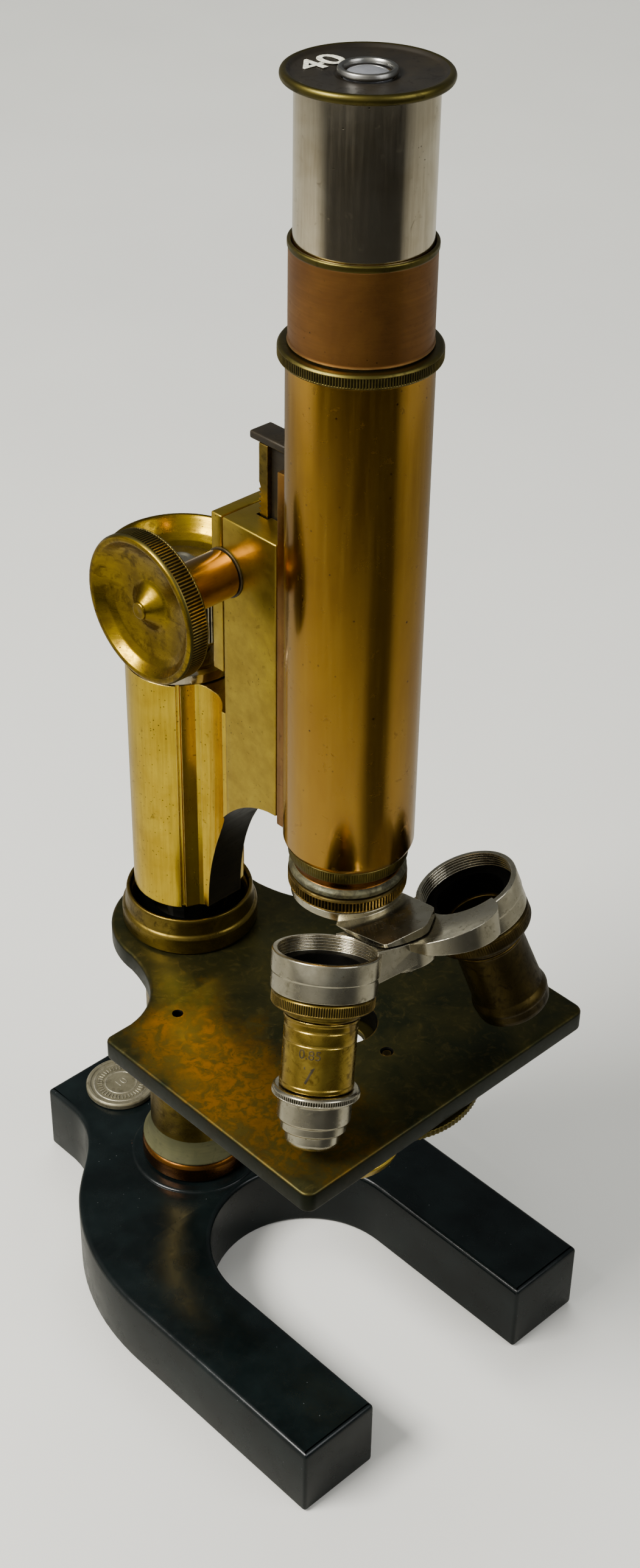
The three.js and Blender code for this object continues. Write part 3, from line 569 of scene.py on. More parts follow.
finish = {
    "foot": black_enamel(),
    "tube": lacquered_brass(),
    "stage": stage_patina(),
    "yellow": metal("yellow_brass", (0.88, 0.62, 0.045), (0.70, 0.46, 0.025), (0.14, 0.07, 0.008),
                    rough=(0.16, 0.30), stain_at=(0.60, 0.74), specks=0.9, wear=(0.90, 0.72, 0.30),
                    grain=DRAWN),
    "dish": metal("dished_brass", (0.36, 0.235, 0.008), (0.19, 0.115, 0.006), (0.045, 0.025, 0.004),
                  rough=(0.18, 0.36), stain_at=(0.50, 0.66), specks=0.3, wear=(0.75, 0.55, 0.16), blotch=6),
    "hub": metal("hub_brass", (0.48, 0.26, 0.025), (0.36, 0.18, 0.015), (0.08, 0.035, 0.006),
                 rough=(0.16, 0.30), stain_at=(0.60, 0.74), wear=(0.8, 0.6, 0.2)),
    "satin": metal("satin_brass", (0.58, 0.41, 0.038), (0.46, 0.31, 0.026), (0.13, 0.07, 0.01),
                   rough=(0.27, 0.42), stain_at=(0.60, 0.72), specks=0.4, wear=(0.75, 0.55, 0.18),
                   grain=(1.0, 0.25, 0.25), coat=0.15),
    "edge": metal("orange_brass", (0.33, 0.16, 0.028), (0.24, 0.10, 0.018), (0.06, 0.025, 0.008),
                  rough=(0.25, 0.4), grain=DRAWN, wear=(0.7, 0.42, 0.12)),
    "knurl": metal("olive_brass", (0.130, 0.105, 0.022), (0.075, 0.062, 0.016), (0.02, 0.016, 0.006),
                   rough=(0.32, 0.48), stain_at=(0.55, 0.7), wear=(0.45, 0.33, 0.09), wear_amount=0.5),
    # painted shade: near-black colour laid into the grooves of every knurl
    "groove_shade": metal("painted_knurl_shade", (0.022, 0.017, 0.006), (0.012, 0.010, 0.004), (0.005, 0.004, 0.002),
                    rough=(0.5, 0.65)),
    "brown": metal("brown_brass", (0.26, 0.18, 0.030), (0.135, 0.094, 0.018), (0.035, 0.024, 0.006),
                   rough=(0.24, 0.42), stain_at=(0.5, 0.66), wear=(0.50, 0.32, 0.08)),
    "copper": metal("red_brass", (0.285, 0.128, 0.028), (0.21, 0.090, 0.022), (0.08, 0.032, 0.009),
                    rough=(0.40, 0.52), stain_at=(0.6, 0.75), specks=0.25, wear=(0.7, 0.48, 0.16),
                    grain=TURNED, coat=0.2),
    "ember": metal("ember_brass", (0.175, 0.070, 0.011), (0.10, 0.036, 0.007), (0.025, 0.011, 0.004),
                   rough=(0.2, 0.36), stain_at=(0.52, 0.7), wear=(0.5, 0.26, 0.06)),
    "green": metal("verdigris_brass", (0.13, 0.125, 0.055), (0.075, 0.078, 0.035), (0.03, 0.026, 0.012),
                   rough=(0.4, 0.58), wear=(0.30, 0.24, 0.10), metallic=0.6),
    "nickel": metal("nickel", (0.66, 0.59, 0.45), (0.52, 0.445, 0.31), (0.16, 0.125, 0.07),
                    rough=(0.10, 0.22), stain_at=(0.60, 0.76), specks=0.25, wear=(0.75, 0.68, 0.52),
                    grain=DRAWN, scratches=0.15),
    "worn_nickel": metal("worn_nickel", (0.58, 0.54, 0.41), (0.46, 0.42, 0.30), (0.13, 0.11, 0.06),
                         rough=(0.17, 0.32), stain_at=(0.56, 0.7), specks=0.4, wear=(0.75, 0.70, 0.56),
                         blotch=5, grain=(0.4, 0.4, 0.4), scratches=0.15),
    # blackened brass for the eyepiece cap, stop plate and figures; the same finish also serves as painted shade in the
    # arch, the block's passage, slots and spindle bore, the spindle rings and on the rack web
    "black": metal("blackened_brass", (0.016, 0.013, 0.009), (0.030, 0.023, 0.012), (0.008, 0.006, 0.004),
                   rough=(0.34, 0.5), wear=(0.14, 0.10, 0.035), wear_amount=0.8, metallic=0.5),
    "steel": metal("steel", (0.32, 0.32, 0.30), (0.24, 0.23, 0.21), (0.08, 0.07, 0.05), rough=(0.26, 0.4)),
    "verdigris": metal("verdigris", (0.085, 0.070, 0.026), (0.135, 0.135, 0.080), (0.018, 0.015, 0.006),
                       rough=(0.42, 0.6), stain_at=(0.45, 0.6), metallic=0.6),
    "plaque": metal("plaque_nickel", (0.28, 0.255, 0.165), (0.20, 0.18, 0.11), (0.045, 0.037, 0.018),
                    rough=(0.38, 0.55), stain_at=(0.5, 0.66), wear=(0.75, 0.70, 0.56), blotch=4, metallic=0.7),
    "dark": metal("dark_brass", (0.070, 0.048, 0.012), (0.040, 0.030, 0.010), (0.016, 0.011, 0.004),
                  rough=(0.34, 0.5), stain_at=(0.48, 0.64), wear=(0.42, 0.26, 0.06), grain=DRAWN),
    "barrel": metal("barrel_brass", (0.46, 0.32, 0.045), (0.30, 0.19, 0.024), (0.06, 0.035, 0.006),
                    rough=(0.18, 0.32), stain_at=(0.5, 0.66), specks=0.3, wear=(0.8, 0.6, 0.2)),
    # painted shade: near-black laid into the stage's holes, the stage ring's recess and the objective collars' inner
    # faces
    "inside": metal("recess_shade_black", (0.004, 0.004, 0.0035), (0.006, 0.0055, 0.005), (0.003, 0.003, 0.002),
                    rough=(0.6, 0.75), metallic=1.0),
    "lens": glass("lens_glass", (0.19, 0.195, 0.21)),
    "mirror": mirror_silver(),
    "paint": white_paint(),
}


# ---------------------------------------------------------------- camera, light and floor
def build_camera():
    """The camera stands front left of the object and looks down on it."""
    yaw, pitch, roll = (math.radians(a) for a in (44.06, 35.41, 0.92))
    forward = Vector((math.cos(pitch) * math.sin(yaw), math.cos(pitch) * math.cos(yaw), -math.sin(pitch)))
    right = forward.cross(Vector((0, 0, 1))).normalized()
    up = right.cross(forward)
    tilted_right = right * math.cos(roll) + up * math.sin(roll)
    tilted_up = up * math.cos(roll) - right * math.sin(roll)
    data = bpy.data.cameras.new("camera")
    data.lens = 50.29
    data.sensor_width = 36
    data.clip_start = 0.01
    camera = bpy.data.objects.new("camera", data)
    place = Matrix((tilted_right, tilted_up, -forward)).transposed().to_4x4()
    place.translation = (-0.26492, tube_y * MM - 0.26481, 0.4309)
    camera.matrix_world = place
    bpy.context.scene.collection.objects.link(camera)
    bpy.context.scene.camera = camera


def area_light(name, position, target, size, power, tint=(1, 1, 1)):
    data = bpy.data.lights.new(name, "AREA")
    data.shape = "RECTANGLE"
    data.size, data.size_y = size
    data.energy = power
    data.color = tint
    light = bpy.data.objects.new(name, data)
    aim = Vector(target) - Vector(position)
    light.matrix_world = Matrix.Translation(position) @ aim.to_track_quat("-Z", "Y").to_matrix().to_4x4()
    bpy.context.scene.collection.objects.link(light)
    return light


def build_floor():
    made = Finish("pale_floor")
    cloud = made.noise(90, 3, 0.5)
    made.set(Base_Color=made.mix(cloud, (0.72, 0.715, 0.675), (0.77, 0.765, 0.72)))
    made.set(Roughness=made.span(cloud, 0.3, 0.7, 0.5, 0.6))
    made.bump(made.noise(0.6, 3, 0.6), 0.06, 0.05)
    half = 4000
    floor = new_piece("floor", [(-half, -half, 0), (half, -half, 0), (half, half, 0), (-half, half, 0)],
                      [(0, 1, 2, 3)], made.material)


def build_world():
    """A dim room with one pale side, to the left of the camera."""
    world = bpy.data.worlds.new("room")
    world.use_nodes = True
    tree = world.node_tree
    coords = tree.nodes.new("ShaderNodeTexCoord")
    facing = tree.nodes.new("ShaderNodeVectorMath")
    facing.operation = "DOT_PRODUCT"
    facing.inputs[1].default_value = Vector((-0.80, 0.10, 0.59)).normalized()
    ramp = tree.nodes.new("ShaderNodeValToRGB")
    tree.links.new(coords.outputs["Generated"], facing.inputs[0])
    tree.links.new(facing.outputs["Value"], ramp.inputs[0])
    tree.links.new(ramp.outputs[0], tree.nodes["Background"].inputs["Color"])
    ramp.color_ramp.elements[0].position = 0.35
    ramp.color_ramp.elements[0].color = (0.16, 0.165, 0.165, 1)
    ramp.color_ramp.elements[1].position = 1.0
    ramp.color_ramp.elements[1].color = (0.85, 0.83, 0.76, 1)
    bpy.context.scene.world = world


def build_dim_floor():
    """What the metal sees of the floor: grey, darker further out and on the camera's side.
    It shows in reflections only, as a photographer's black cards do."""
    made = Finish("dim_floor")
    x, y = made.axis("X"), made.math("SUBTRACT", made.axis("Y"), tube_y * MM)
    bearing = made.math("ARCTAN2", made.math("MULTIPLY", y, -1.0), made.math("MULTIPLY", x, -1.0))
    away = made.math("SQRT", made.math("ADD", made.math("MULTIPLY", x, x), made.math("MULTIPLY", y, y)))
    left = made.span(bearing, math.radians(-38), math.radians(52))
    left_far = made.math("MULTIPLY", made.span(bearing, math.radians(-38), math.radians(-14)),
                         made.span(away, 0.70, 0.80))
    left = made.math("MAXIMUM", left, left_far)
    right = made.span(bearing, math.radians(125), math.radians(95))
    far = made.span(away, 0.25, 0.65)
    dark_far = made.math("MULTIPLY", made.math("MULTIPLY", left, right), far)
    core_left = made.span(bearing, math.radians(54), math.radians(74))
    core_right = made.span(bearing, math.radians(116), math.radians(104))
    core = made.math("MULTIPLY", made.math("MULTIPLY", core_left, core_right), made.span(away, 0.10, 0.16))
    dark = made.math("MAXIMUM", dark_far, core)
    tone = made.mix(made.span(away, 0.20, 0.48), (0.31, 0.305, 0.275), (0.17, 0.167, 0.15))
    tone = made.mix(made.span(away, 0.70, 0.80), tone, (0.50, 0.495, 0.455))
    made.set(Base_Color=made.mix(dark, tone, (0.012, 0.012, 0.011)), Roughness=0.9)
    half = 3000
    card = new_piece("dim_floor", [(-half, -half, 0.3), (half, -half, 0.3), (half, half, 0.3), (-half, half, 0.3)],
                     [(0, 1, 2, 3)], made.material)
    card.visible_camera = False
    card.visible_diffuse = False
    card.visible_shadow = False


build_camera()
build_floor()
build_world()
build_dim_floor()
area_light("key", (-0.75, 0.20, 0.95), (0, 0.1, 0.05), (0.5, 0.35), 26, (1, 0.98, 0.94))
area_light("fill", (0.25, -0.95, 0.85), (0, 0, 0.12), (0.7, 0.5), 6, (0.97, 0.98, 1))
area_light("back", (0.75, 0.85, 1.5), (0.5, 0.6, 0), (1.2, 0.8), 16, (0.98, 1, 0.97)).visible_glossy = False


# ---------------------------------------------------------------- foot and pillar
def shifted(points):
    """Moves an outline that is drawn from the tube axis into the row frame."""
    return [Vector((p[0], p[1] - FRONT)) for p in points]


def foot_outline():
    width, heel, rear, front = 46.5, 15.0, 97.0, -37.85
    slot, slot_y = 24.6, 10.2
    right = [Vector((slot, front)), Vector((width, front)), Vector((width, 22))]
    right += curve_to((width, 22), (width, 44), (34, 60))
    right += cubic_to((34, 60), (27, 69), (heel + 0.6, 73), (heel, 87))
    right.append(Vector((heel, rear)))
    left = [Vector((-p.x, p.y)) for p in reversed(right)]
    gap = arc(slot, 0, slot_y, 180, 0, 40)
    corners = {0, 1, len(right) - 1, len(right), 2 * len(right) - 2, 2 * len(right) - 1}
    outline = right + left
    shaped = []
    for i, p in enumerate(outline):
        if i not in corners:
            shaped.append(p)
            continue
        before, after = outline[i - 1], outline[(i + 1) % len(outline)]
        if i == 0:
            before = gap[-1]
        if i == len(outline) - 1:
            after = gap[0]
        into, out = (before - p).normalized() * 0.9, (after - p).normalized() * 0.9
        shaped += [p + into * (1 - t) ** 2 + out * t ** 2 for t in (0, 0.25, 0.5, 0.75, 1)]
    return shifted(shaped + gap)


def build_foot():
    height = 20.2
    foot = plate("foot_casting", [foot_outline()], 0, height, 1.3, finish["foot"])
    boss = [[0, height - 2], [17, height - 2], [17, height + 0.2], [16.4, height + 0.6], [0, height + 0.6]]
    join(foot, turned("boss", boss, finish["foot"], at=(0, pillar_y), soft=0.3))
    bore = [[0, -1], [7, -1], [7, 6], [3.7, 6], [3.7, 30], [0, 30]]
    cut(foot, turned("bore", bore, finish["foot"], at=(0, pillar_y), segments=48))
    attach(foot, "stand", "foot", slot="black_enamel")


def build_pillar():
    ring = [[8.3, 21.1], [13.6, 21.1], [14, 21.6], [14, 25.4], [13.6, 26.1], [13.2, 26.5], [8.3, 26.5]]
    attach(turned("pillar_ring", ring, finish["ember"], at=(0, pillar_y)),
           "stand", "pillar_base_ring", slot="copper_brass")
    profile = [[0, 21.1], [8, 21.1], [8, 26.8], [13.6, 26.8], [13.7, 27.3], [13.1, 28.3], [12.4, 29.8],
               [11.8, 31.6], [11.6, 33], [11.5, 35.4], [11.5, 84], [12.4, 86.6], [14.5, 88.2], [14.5, 93],
               [9, 93], [9, 72], [0, 72]]
    cove = (finish["green"], lambda r, z: 26.6 < z < 33.2)
    pillar = turned("pillar_shaft", profile, finish["brown"], at=(0, pillar_y), soft=0.5, bands=[cove])
    attach(pillar, "stand", "pillar", slot="brown_brass")


def build_plaque():
    """The property disc on the heel, with a milled border and a plain number."""
    low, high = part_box("heel_plaque")
    spot = ((low[0] + high[0]) / 2 / MM, (low[1] + high[1]) / 2 / MM)
    base = low[2] / MM
    profile = [[0, base], [9.4, base], [9.4, base + 1.2], [9, base + 1.65], [8.3, base + 1.65],
               [8, base + 1.25], [7.4, base + 1.2], [7.3, base + 1.35], [7.1, base + 1.35],
               [7, base + 1.2], [4.4, base + 1.2], [4.3, base + 1.32], [4.1, base + 1.32],
               [4, base + 1.2], [0, base + 1.2]]
    plaque = turned("heel_disc", profile, finish["plaque"], at=spot, soft=0.12)
    attach(plaque, "stand", "heel_plaque", slot="nickel")
    ticks = []
    for i in range(40):
        angle = 2 * math.pi * i / 40
        place = (Matrix.Translation((spot[0], spot[1], base + 1.28)) @ Matrix.Rotation(angle, 4, "Z"))
        ticks.append(block_of("tick", 5.1, 6.4, -0.13, 0.13, -0.12, 0.1, finish["plaque"], matrix=place))
    attach(merged("heel_disc_ticks", ticks), "stand", slot="nickel")
    number = lettering("heel_disc_number", "10", 3.6, finish["plaque"], 0.14,
                       lambda p: Vector((spot[0] + p.x, spot[1] + p.y, base + 1.2 + p.z)))
    attach(number, "stand", slot="nickel")


def merged(name, parts):
    """One piece from several loose ones."""
    shape = bmesh.new()
    for part in parts:
        shape.from_mesh(part.data)
    mesh = bpy.data.meshes.new(name)
    shape.to_mesh(mesh)
    shape.free()
    mesh.materials.append(parts[0].data.materials[0])
    piece = bpy.data.objects.new(name, mesh)
    bpy.context.scene.collection.objects.link(piece)
    for part in parts:
        bpy.data.objects.remove(part)
    return piece


def lettering(name, text, size, material, thickness, wrap, bold=0.0):
    """Raised figures, centred on a point, carried on to a surface by wrap."""
    curve = bpy.data.curves.new(name, "FONT")
    curve.body = text
    curve.size = size
    curve.align_x = "CENTER"
    curve.align_y = "CENTER"
    curve.extrude = thickness / 2
    curve.offset = bold
    curve.resolution_u = 6
    draft = bpy.data.objects.new(name + "_draft", curve)
    bpy.context.scene.collection.objects.link(draft)
    bpy.context.view_layer.update()
    mesh = bpy.data.meshes.new_from_object(draft.evaluated_get(bpy.context.evaluated_depsgraph_get()))
    vertices = [wrap(v.co) for v in mesh.vertices]
    faces = [tuple(p.vertices) for p in mesh.polygons]
    bpy.data.objects.remove(draft)
    return new_piece(name, vertices, faces, material)


# ---------------------------------------------------------------- stage
def stage_outline():
    half, front, rear, tab_y, tab = 43.7, -34.6, 32.3, 51.0, 20.4
    corner = 2.6
    outline = arc(corner, -half + corner, front + corner, 180, 270, 6)
    outline += arc(corner, half - corner, front + corner, 270, 360, 6)
    outline += arc(corner * 0.7, half - corner * 0.7, rear - corner * 0.7, 0, 90, 5)
    outline.append(Vector((36, rear)))
    outline += curve_to((36, rear), (23, 34), (tab, tab_y))
    outline += arc(tab, 0, tab_y, 0, 180, 40)
    outline += curve_to((-tab, tab_y), (-23, 34), (-36, rear))
    outline += arc(corner * 0.7, -half + corner * 0.7, rear - corner * 0.7, 90, 180, 5)
    return shifted(outline)


def build_stage():
    low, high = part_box("stage")
    base, top = low[2] / MM, high[2] / MM
    outlines = [stage_outline(), circle(9, 0, pillar_y)[::-1]]
    stage = plate("stage_plate", outlines, base, top, 0.8, finish["stage"])
    for name, radius, x, y in (("aperture", 7.5, 0, tube_y), ("clip", 1.05, -26, 27.5 - FRONT),
                               ("clip", 1.05, 26, 27.5 - FRONT), ("screw", 1.25, 0, tube_y - 13.9)):
        drill = [[0, base - 3], [radius, base - 3], [radius, top - 0.25], [radius + 0.6, top + 0.35], [0, top + 2]]
        # painted shade: the hole walls take the near-black finish
        cut(stage, turned(name, drill, finish["inside"], at=(x, y), soft=0, segments=64))
    attach(stage, "stand", "stage", slot="patinated_brass")
    collar = [[9.1, 99], [16, 99], [16.2, 99.5], [16.2, 103.1], [15.9, 103.7], [15.5, 104.1], [15.3, 105.6],
              [15.1, 107.6], [14.9, 108.2], [14.4, 108.2], [14.1, 107.8], [14.0, 106.2], [13.6, 105.7],
              [13.2, 104.5], [9.1, 104.5]]
    # painted shade: a near-black band inside the ring's recess
    recess = (finish["inside"], lambda r, z: r < 13.5 and 104 < z < 104.8)
    ring = turned("stage_ring", collar, finish["brown"], at=(0, pillar_y), bands=[recess])
    attach(ring, "stand", "stage_collar", slot="brown_brass")


def build_aperture_disc():
    low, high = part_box("aperture_disc")
    y = (low[1] + high[1]) / 2 / MM
    holes = [circle(1.35, 0, y, 24)]
    for i, radius in enumerate((5, 4, 3.2, 2.4, 1.7, 1.1)):
        angle = math.radians(90 + 60 * i)
        holes.append(circle(radius, 13.9 * math.cos(angle), y + 13.9 * math.sin(angle), 32))
    rim = []
    for i in range(480):
        angle = 2 * math.pi * i / 480
        radius = 21.4 - 0.16 * (i % 4 in (1, 2))
        rim.append(Vector((radius * math.cos(angle), y + radius * math.sin(angle))))
    disc = plate("diaphragm_wheel", [rim] + [h[::-1] for h in holes], low[2] / MM, high[2] / MM, 0.15,
                 finish["knurl"])
    attach(disc, "aperture_disc", "aperture_disc", slot="patinated_brass")


# ---------------------------------------------------------------- limb
def arch_tool(material):
    reach, rise, low_z, front = 27.7, 42.7, 111.0, 12.8 - FRONT
    outline = [(-30 - FRONT, 80), (front + reach, 80)]
    for i in range(31):
        angle = math.pi / 2 * i / 30
        outline.append((front + reach * math.cos(angle), low_z + rise * math.sin(angle)))
    outline.append((-30 - FRONT, low_z + rise))
    return prism_x("arch", outline, -25, 25, material)


def sleeve_outline():
    """The sleeve's section: a round barrel, a scribed seam on each side and the neck in front of it."""
    seam = 48.5
    barrel = arc(13.06, 0, 53.2, seam - 90, 270 - seam, 96)
    left = [(-9.2, 45.15), (-8.75, 44.6), (-8.95, 43.95), (-8.3, 43.62), (-7.5, 43.3), (-6.7, 42.96),
            (-5.9, 42.6), (-5.25, 41.8), (-4.95, 40.4), (-4.85, 38.4), (-5.0, 36.3), (-5.5, 34.6),
            (-6.4, 33.0), (-7.5, 31.6), (-8.8, 30.4), (-8.8, 28.9)]
    return shifted(barrel + left + [(-x, y) for x, y in reversed(left)])


def build_sleeve():
    sleeve = plate("limb_barrel", [sleeve_outline()], 110.8, 172.0, 0.0, finish["yellow"])
    # painted shade: the arch's cut faces under the limb take the near-black finish
    cut(sleeve, arch_tool(finish["black"]))
    bore = [[0, 100], [8.6, 100], [8.6, 160], [0, 160]]
    cut(sleeve, turned("bore", bore, finish["black"], at=(0, pillar_y), segments=48))
    shade(sleeve, math.radians(24))
    attach(sleeve, "limb", "limb_sleeve", slot="yellow_brass")


def build_block():
    low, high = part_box("rack_block")
    y0, y1, top = low[1] / MM, high[1] / MM, high[2] / MM
    block = block_of("slide_block", -9, 9, y0, y1, 130, top, finish["satin"], bevel=0.35)
    cut(block, arch_tool(finish["satin"]))
    # painted shade: the tube passage, the two slots and the spindle bore are cut with the near-black finish, darkening
    # their faces
    hollow = [[0, 110], [14.35, 110], [14.35, 240], [0, 240]]
    cut(block, turned("hollow", hollow, finish["black"], at=(0, tube_y)))
    cut(block, block_of("web_slot", -1.95, 1.95, y0 - 6, 24 - FRONT, 100, 240, finish["black"]))
    cut(block, block_of("rack_slot", -3.1, 3.1, 22.15 - FRONT, 25.52 - FRONT, 100, 240, finish["black"]))
    spindle = centre("pinion") / MM
    across = Matrix.Translation((0, spindle.y, spindle.z)) @ Matrix.Rotation(math.pi / 2, 4, "Y")
    cut(block, turned("bore", [[0, -20], [2.9, -20], [2.9, 20], [0, 20]], finish["black"], matrix=across,
                      segments=48))
    attach(block, "limb", "rack_block", slot="satin_brass")
    # painted shadow: a thin near-black ring on each side of the block where the spindle enters it, standing for the
    # shadowed gap
    for side in (-1, 1):
        ring = [[3, 9.02], [5.55, 9.02], [5.5, 9.36], [3, 9.36]]
        turn = Matrix.Translation((0, spindle.y, spindle.z)) @ Matrix.Rotation(side * math.pi / 2, 4, "Y")
        attach(turned("spindle_gap_shadow_" + ("left" if side < 0 else "right"), ring, finish["black"], matrix=turn,
                      segments=96, soft=0.08), "limb", slot="blackened_brass")
    low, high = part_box("block_back_plate")
    plate_piece = block_of("back_plate", -9, 9, low[1] / MM, high[1] / MM, low[2] / MM, high[2] / MM,
                           finish["satin"], bevel=0.3)
    attach(plate_piece, "limb", "block_back_plate", slot="satin_brass")


def build_fine_focus():
    cap = [[6.5, 172.3], [13, 172.3], [13.1, 172.8], [13.1, 174.8], [12.7, 175.6], [12, 176], [6.5, 176]]
    attach(turned("limb_top_ring", cap, finish["nickel"], at=(0, pillar_y)), "limb", "limb_cap", slot="nickel")
    top, low, radius = 199.0, 183.2, 16.8
    head = [[2.5, 177], [6.2, 177], [6.2, 181.4], [7.5, low], [15.6, low], [16.3, low + 0.5],
            [radius, low + 1.1], [radius, top - 1.4], [16.4, top - 0.6], [16.0, top], [15.3, top],
            [14.7, top - 0.7], [14.0, top - 1.9], [12.9, top - 3.2], [11.4, top - 4.3], [9.3, top - 5],
            [2.5, top - 5]]
    grip = (finish["worn_nickel"], lambda r, z: r > 16.2 and z < top - 1.2)
    drum = turned("micrometer_drum", head, finish["dish"], at=(0, pillar_y), bands=[grip],
                  ripple=(low + 1.4, top - 1.8, 150, 0.2, finish["groove_shade"]))
    attach(drum, "fine_head", "fine_focus_head", slot="yellow_brass")
    button = [[0, 181.4], [2.1, 181.4], [2.1, 194.3], [8.9, 194.3], [8.7, 194.9], [6, 195.5], [3.4, 196.3],
              [2.4, 196.8], [1.6, 196.4], [0, 196.2]]
    attach(turned("micrometer_button", button, finish["worn_nickel"], at=(0, pillar_y)),
           "fine_head", "fine_focus_cap", slot="nickel")


def build_knobs():
    spindle = centre("pinion") / MM
    profile = [[2.5, 9.4], [5.0, 9.4], [5.2, 9.7], [5.2, 27], [7.5, 27.2], [12.5, 26.8], [15.4, 26.8],
               [15.9, 27.3], [15.9, 31.3], [15.5, 31.9], [14.9, 32], [14.4, 31.9], [13.9, 31.2],
               [12.8, 30.1], [11.2, 29.3], [9.2, 28.8], [7.0, 28.6], [5.6, 28.6], [4.8, 28.9], [3.6, 29.8],
               [2.5, 30.9], [1.9, 31.5], [1.8, 31.9], [1.5, 32], [0, 31.9], [0, 27], [2.5, 27]]
    bands = [(finish["knurl"], lambda r, z: r > 15.3 and z < 31.6 or z < 28 and r > 6),
             (finish["hub"], lambda r, z: r < 6 and z < 27.4)]
    for side, name in ((-1, "coarse_knob_left"), (1, "coarse_knob_right")):
        turn = Matrix.Translation((0, spindle.y, spindle.z)) @ Matrix.Rotation(side * math.pi / 2, 4, "Y")
        knob = turned(name + "_head", profile, finish["dish"], matrix=turn, soft=0.25,
                      ripple=(27.5, 31.1, 140, 0.22, finish["groove_shade"]), bands=bands)
        attach(knob, "coarse_pinion", name, slot="yellow_brass")


# ---------------------------------------------------------------- body tube
def build_tube():
    at = (0, tube_y)
    shell = [[13.1, 151], [13.2, 151], [13.7, 151.5], [14, 152.4], [14, 261.2], [13.1, 261.2]]
    attach(turned("body_tube_shell", shell, finish["tube"], at=at, segments=192),
           "body_tube", "main_tube", slot="lacquered_brass")
    saddle = block_of("tube_saddle", -9, 9, 8 - FRONT, 12.9 - FRONT, 151.8, 235.9, finish["edge"], bevel=0.25)
    core = [[0, 100], [13.6, 100], [13.6, 260], [0, 260]]
    cut(saddle, turned("core", core, finish["edge"], at=at))
    attach(saddle, "body_tube", slot="lacquered_brass")
    ring = [[13.1, 261.5], [14.9, 261.5], [15.3, 261.8], [15.5, 262.1], [15.5, 264], [15.1, 264.5],
            [14.4, 264.6], [13.1, 264.6]]
    attach(turned("tube_ring_top", ring, finish["knurl"], at=at, ripple=(262.15, 263.95, 176, 0.13, finish["groove_shade"])),
           "body_tube", "tube_top_ring", slot="patinated_brass")
    guide = [[13.06, 264.9], [13.75, 264.9], [13.55, 265.4], [13.55, 282.9], [13.75, 283.2], [13.75, 284.1],
             [13.5, 284.3], [13.06, 284.3]]
    lip = (finish["knurl"], lambda r, z: z > 283)
    sleeve = turned("drawtube_sleeve", guide, finish["copper"], at=at, bands=[lip])
    attach(sleeve, "body_tube", "drawtube_guide", slot="copper_brass")
    adapter = [[10.4, 143.8], [12.5, 143.8], [12.7, 144.1], [12.7, 144.9], [12.2, 145.4], [11.6, 145.7],
               [11.6, 147.6], [12.2, 147.8], [12.9, 148.1], [12.9, 150.6], [12.75, 150.7], [12.75, 155],
               [11.9, 155], [11.9, 150.2], [10.4, 150.2]]
    bands = [(finish["ember"], lambda r, z: 145.6 < z < 147.9), (finish["verdigris"], lambda r, z: z <= 145.6)]
    mount = turned("tube_end_ring", adapter, finish["knurl"], at=at, bands=bands,
                   ripple=(148.3, 150.4, 150, 0.2, finish["groove_shade"]))
    attach(mount, "body_tube", "tube_adapter", slot="patinated_brass")
    lock = [[10.4, 139.9], [12.4, 139.9], [12.8, 140.2], [12.9, 140.5], [12.9, 142.8], [12.6, 143.3],
            [12.1, 143.5], [10.4, 143.5]]
    attach(turned("lock_ring", lock, finish["dark"], at=at, ripple=(140.5, 142.8, 106, 0.42, finish["groove_shade"])),
           "body_tube", "nosepiece_lock_ring", slot="patinated_brass")


def build_rack():
    pitch, root, tip, low, high = 1.068, 24.52, 25.07, 152.0, 235.5
    outline = [(root, low)]
    for i in range(int((226 - low) / pitch)):
        z = low + i * pitch
        outline += [(root, z + 0.3 * pitch), (tip, z + 0.5 * pitch), (tip, z + 0.8 * pitch), (root, z + pitch)]
    outline += [(tip, 227), (tip, high), (22.6, high), (22.6, low)]
    bar = prism_x("rack_bar", [(y - FRONT, z) for y, z in outline], -2.65, 2.65, finish["brown"])
    attach(bar, "body_tube", "rack_slide", slot="brown_brass")
    # painted shade: the recessed web between the rack bar and the saddle is near-black
    web = block_of("rack_web", -1.5, 1.5, 12.6 - FRONT, 22.7 - FRONT, low, high, finish["black"])
    attach(web, "body_tube", slot="brown_brass")
    low_corner, high_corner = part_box("rack_stop_plate")
    stop = block_of("stop_plate", -2.9, 2.9, low_corner[1] / MM, high_corner[1] / MM, low_corner[2] / MM,
                    high_corner[2] / MM, finish["black"], bevel=0.45)
    attach(stop, "body_tube", "rack_stop_plate", slot="patinated_brass")


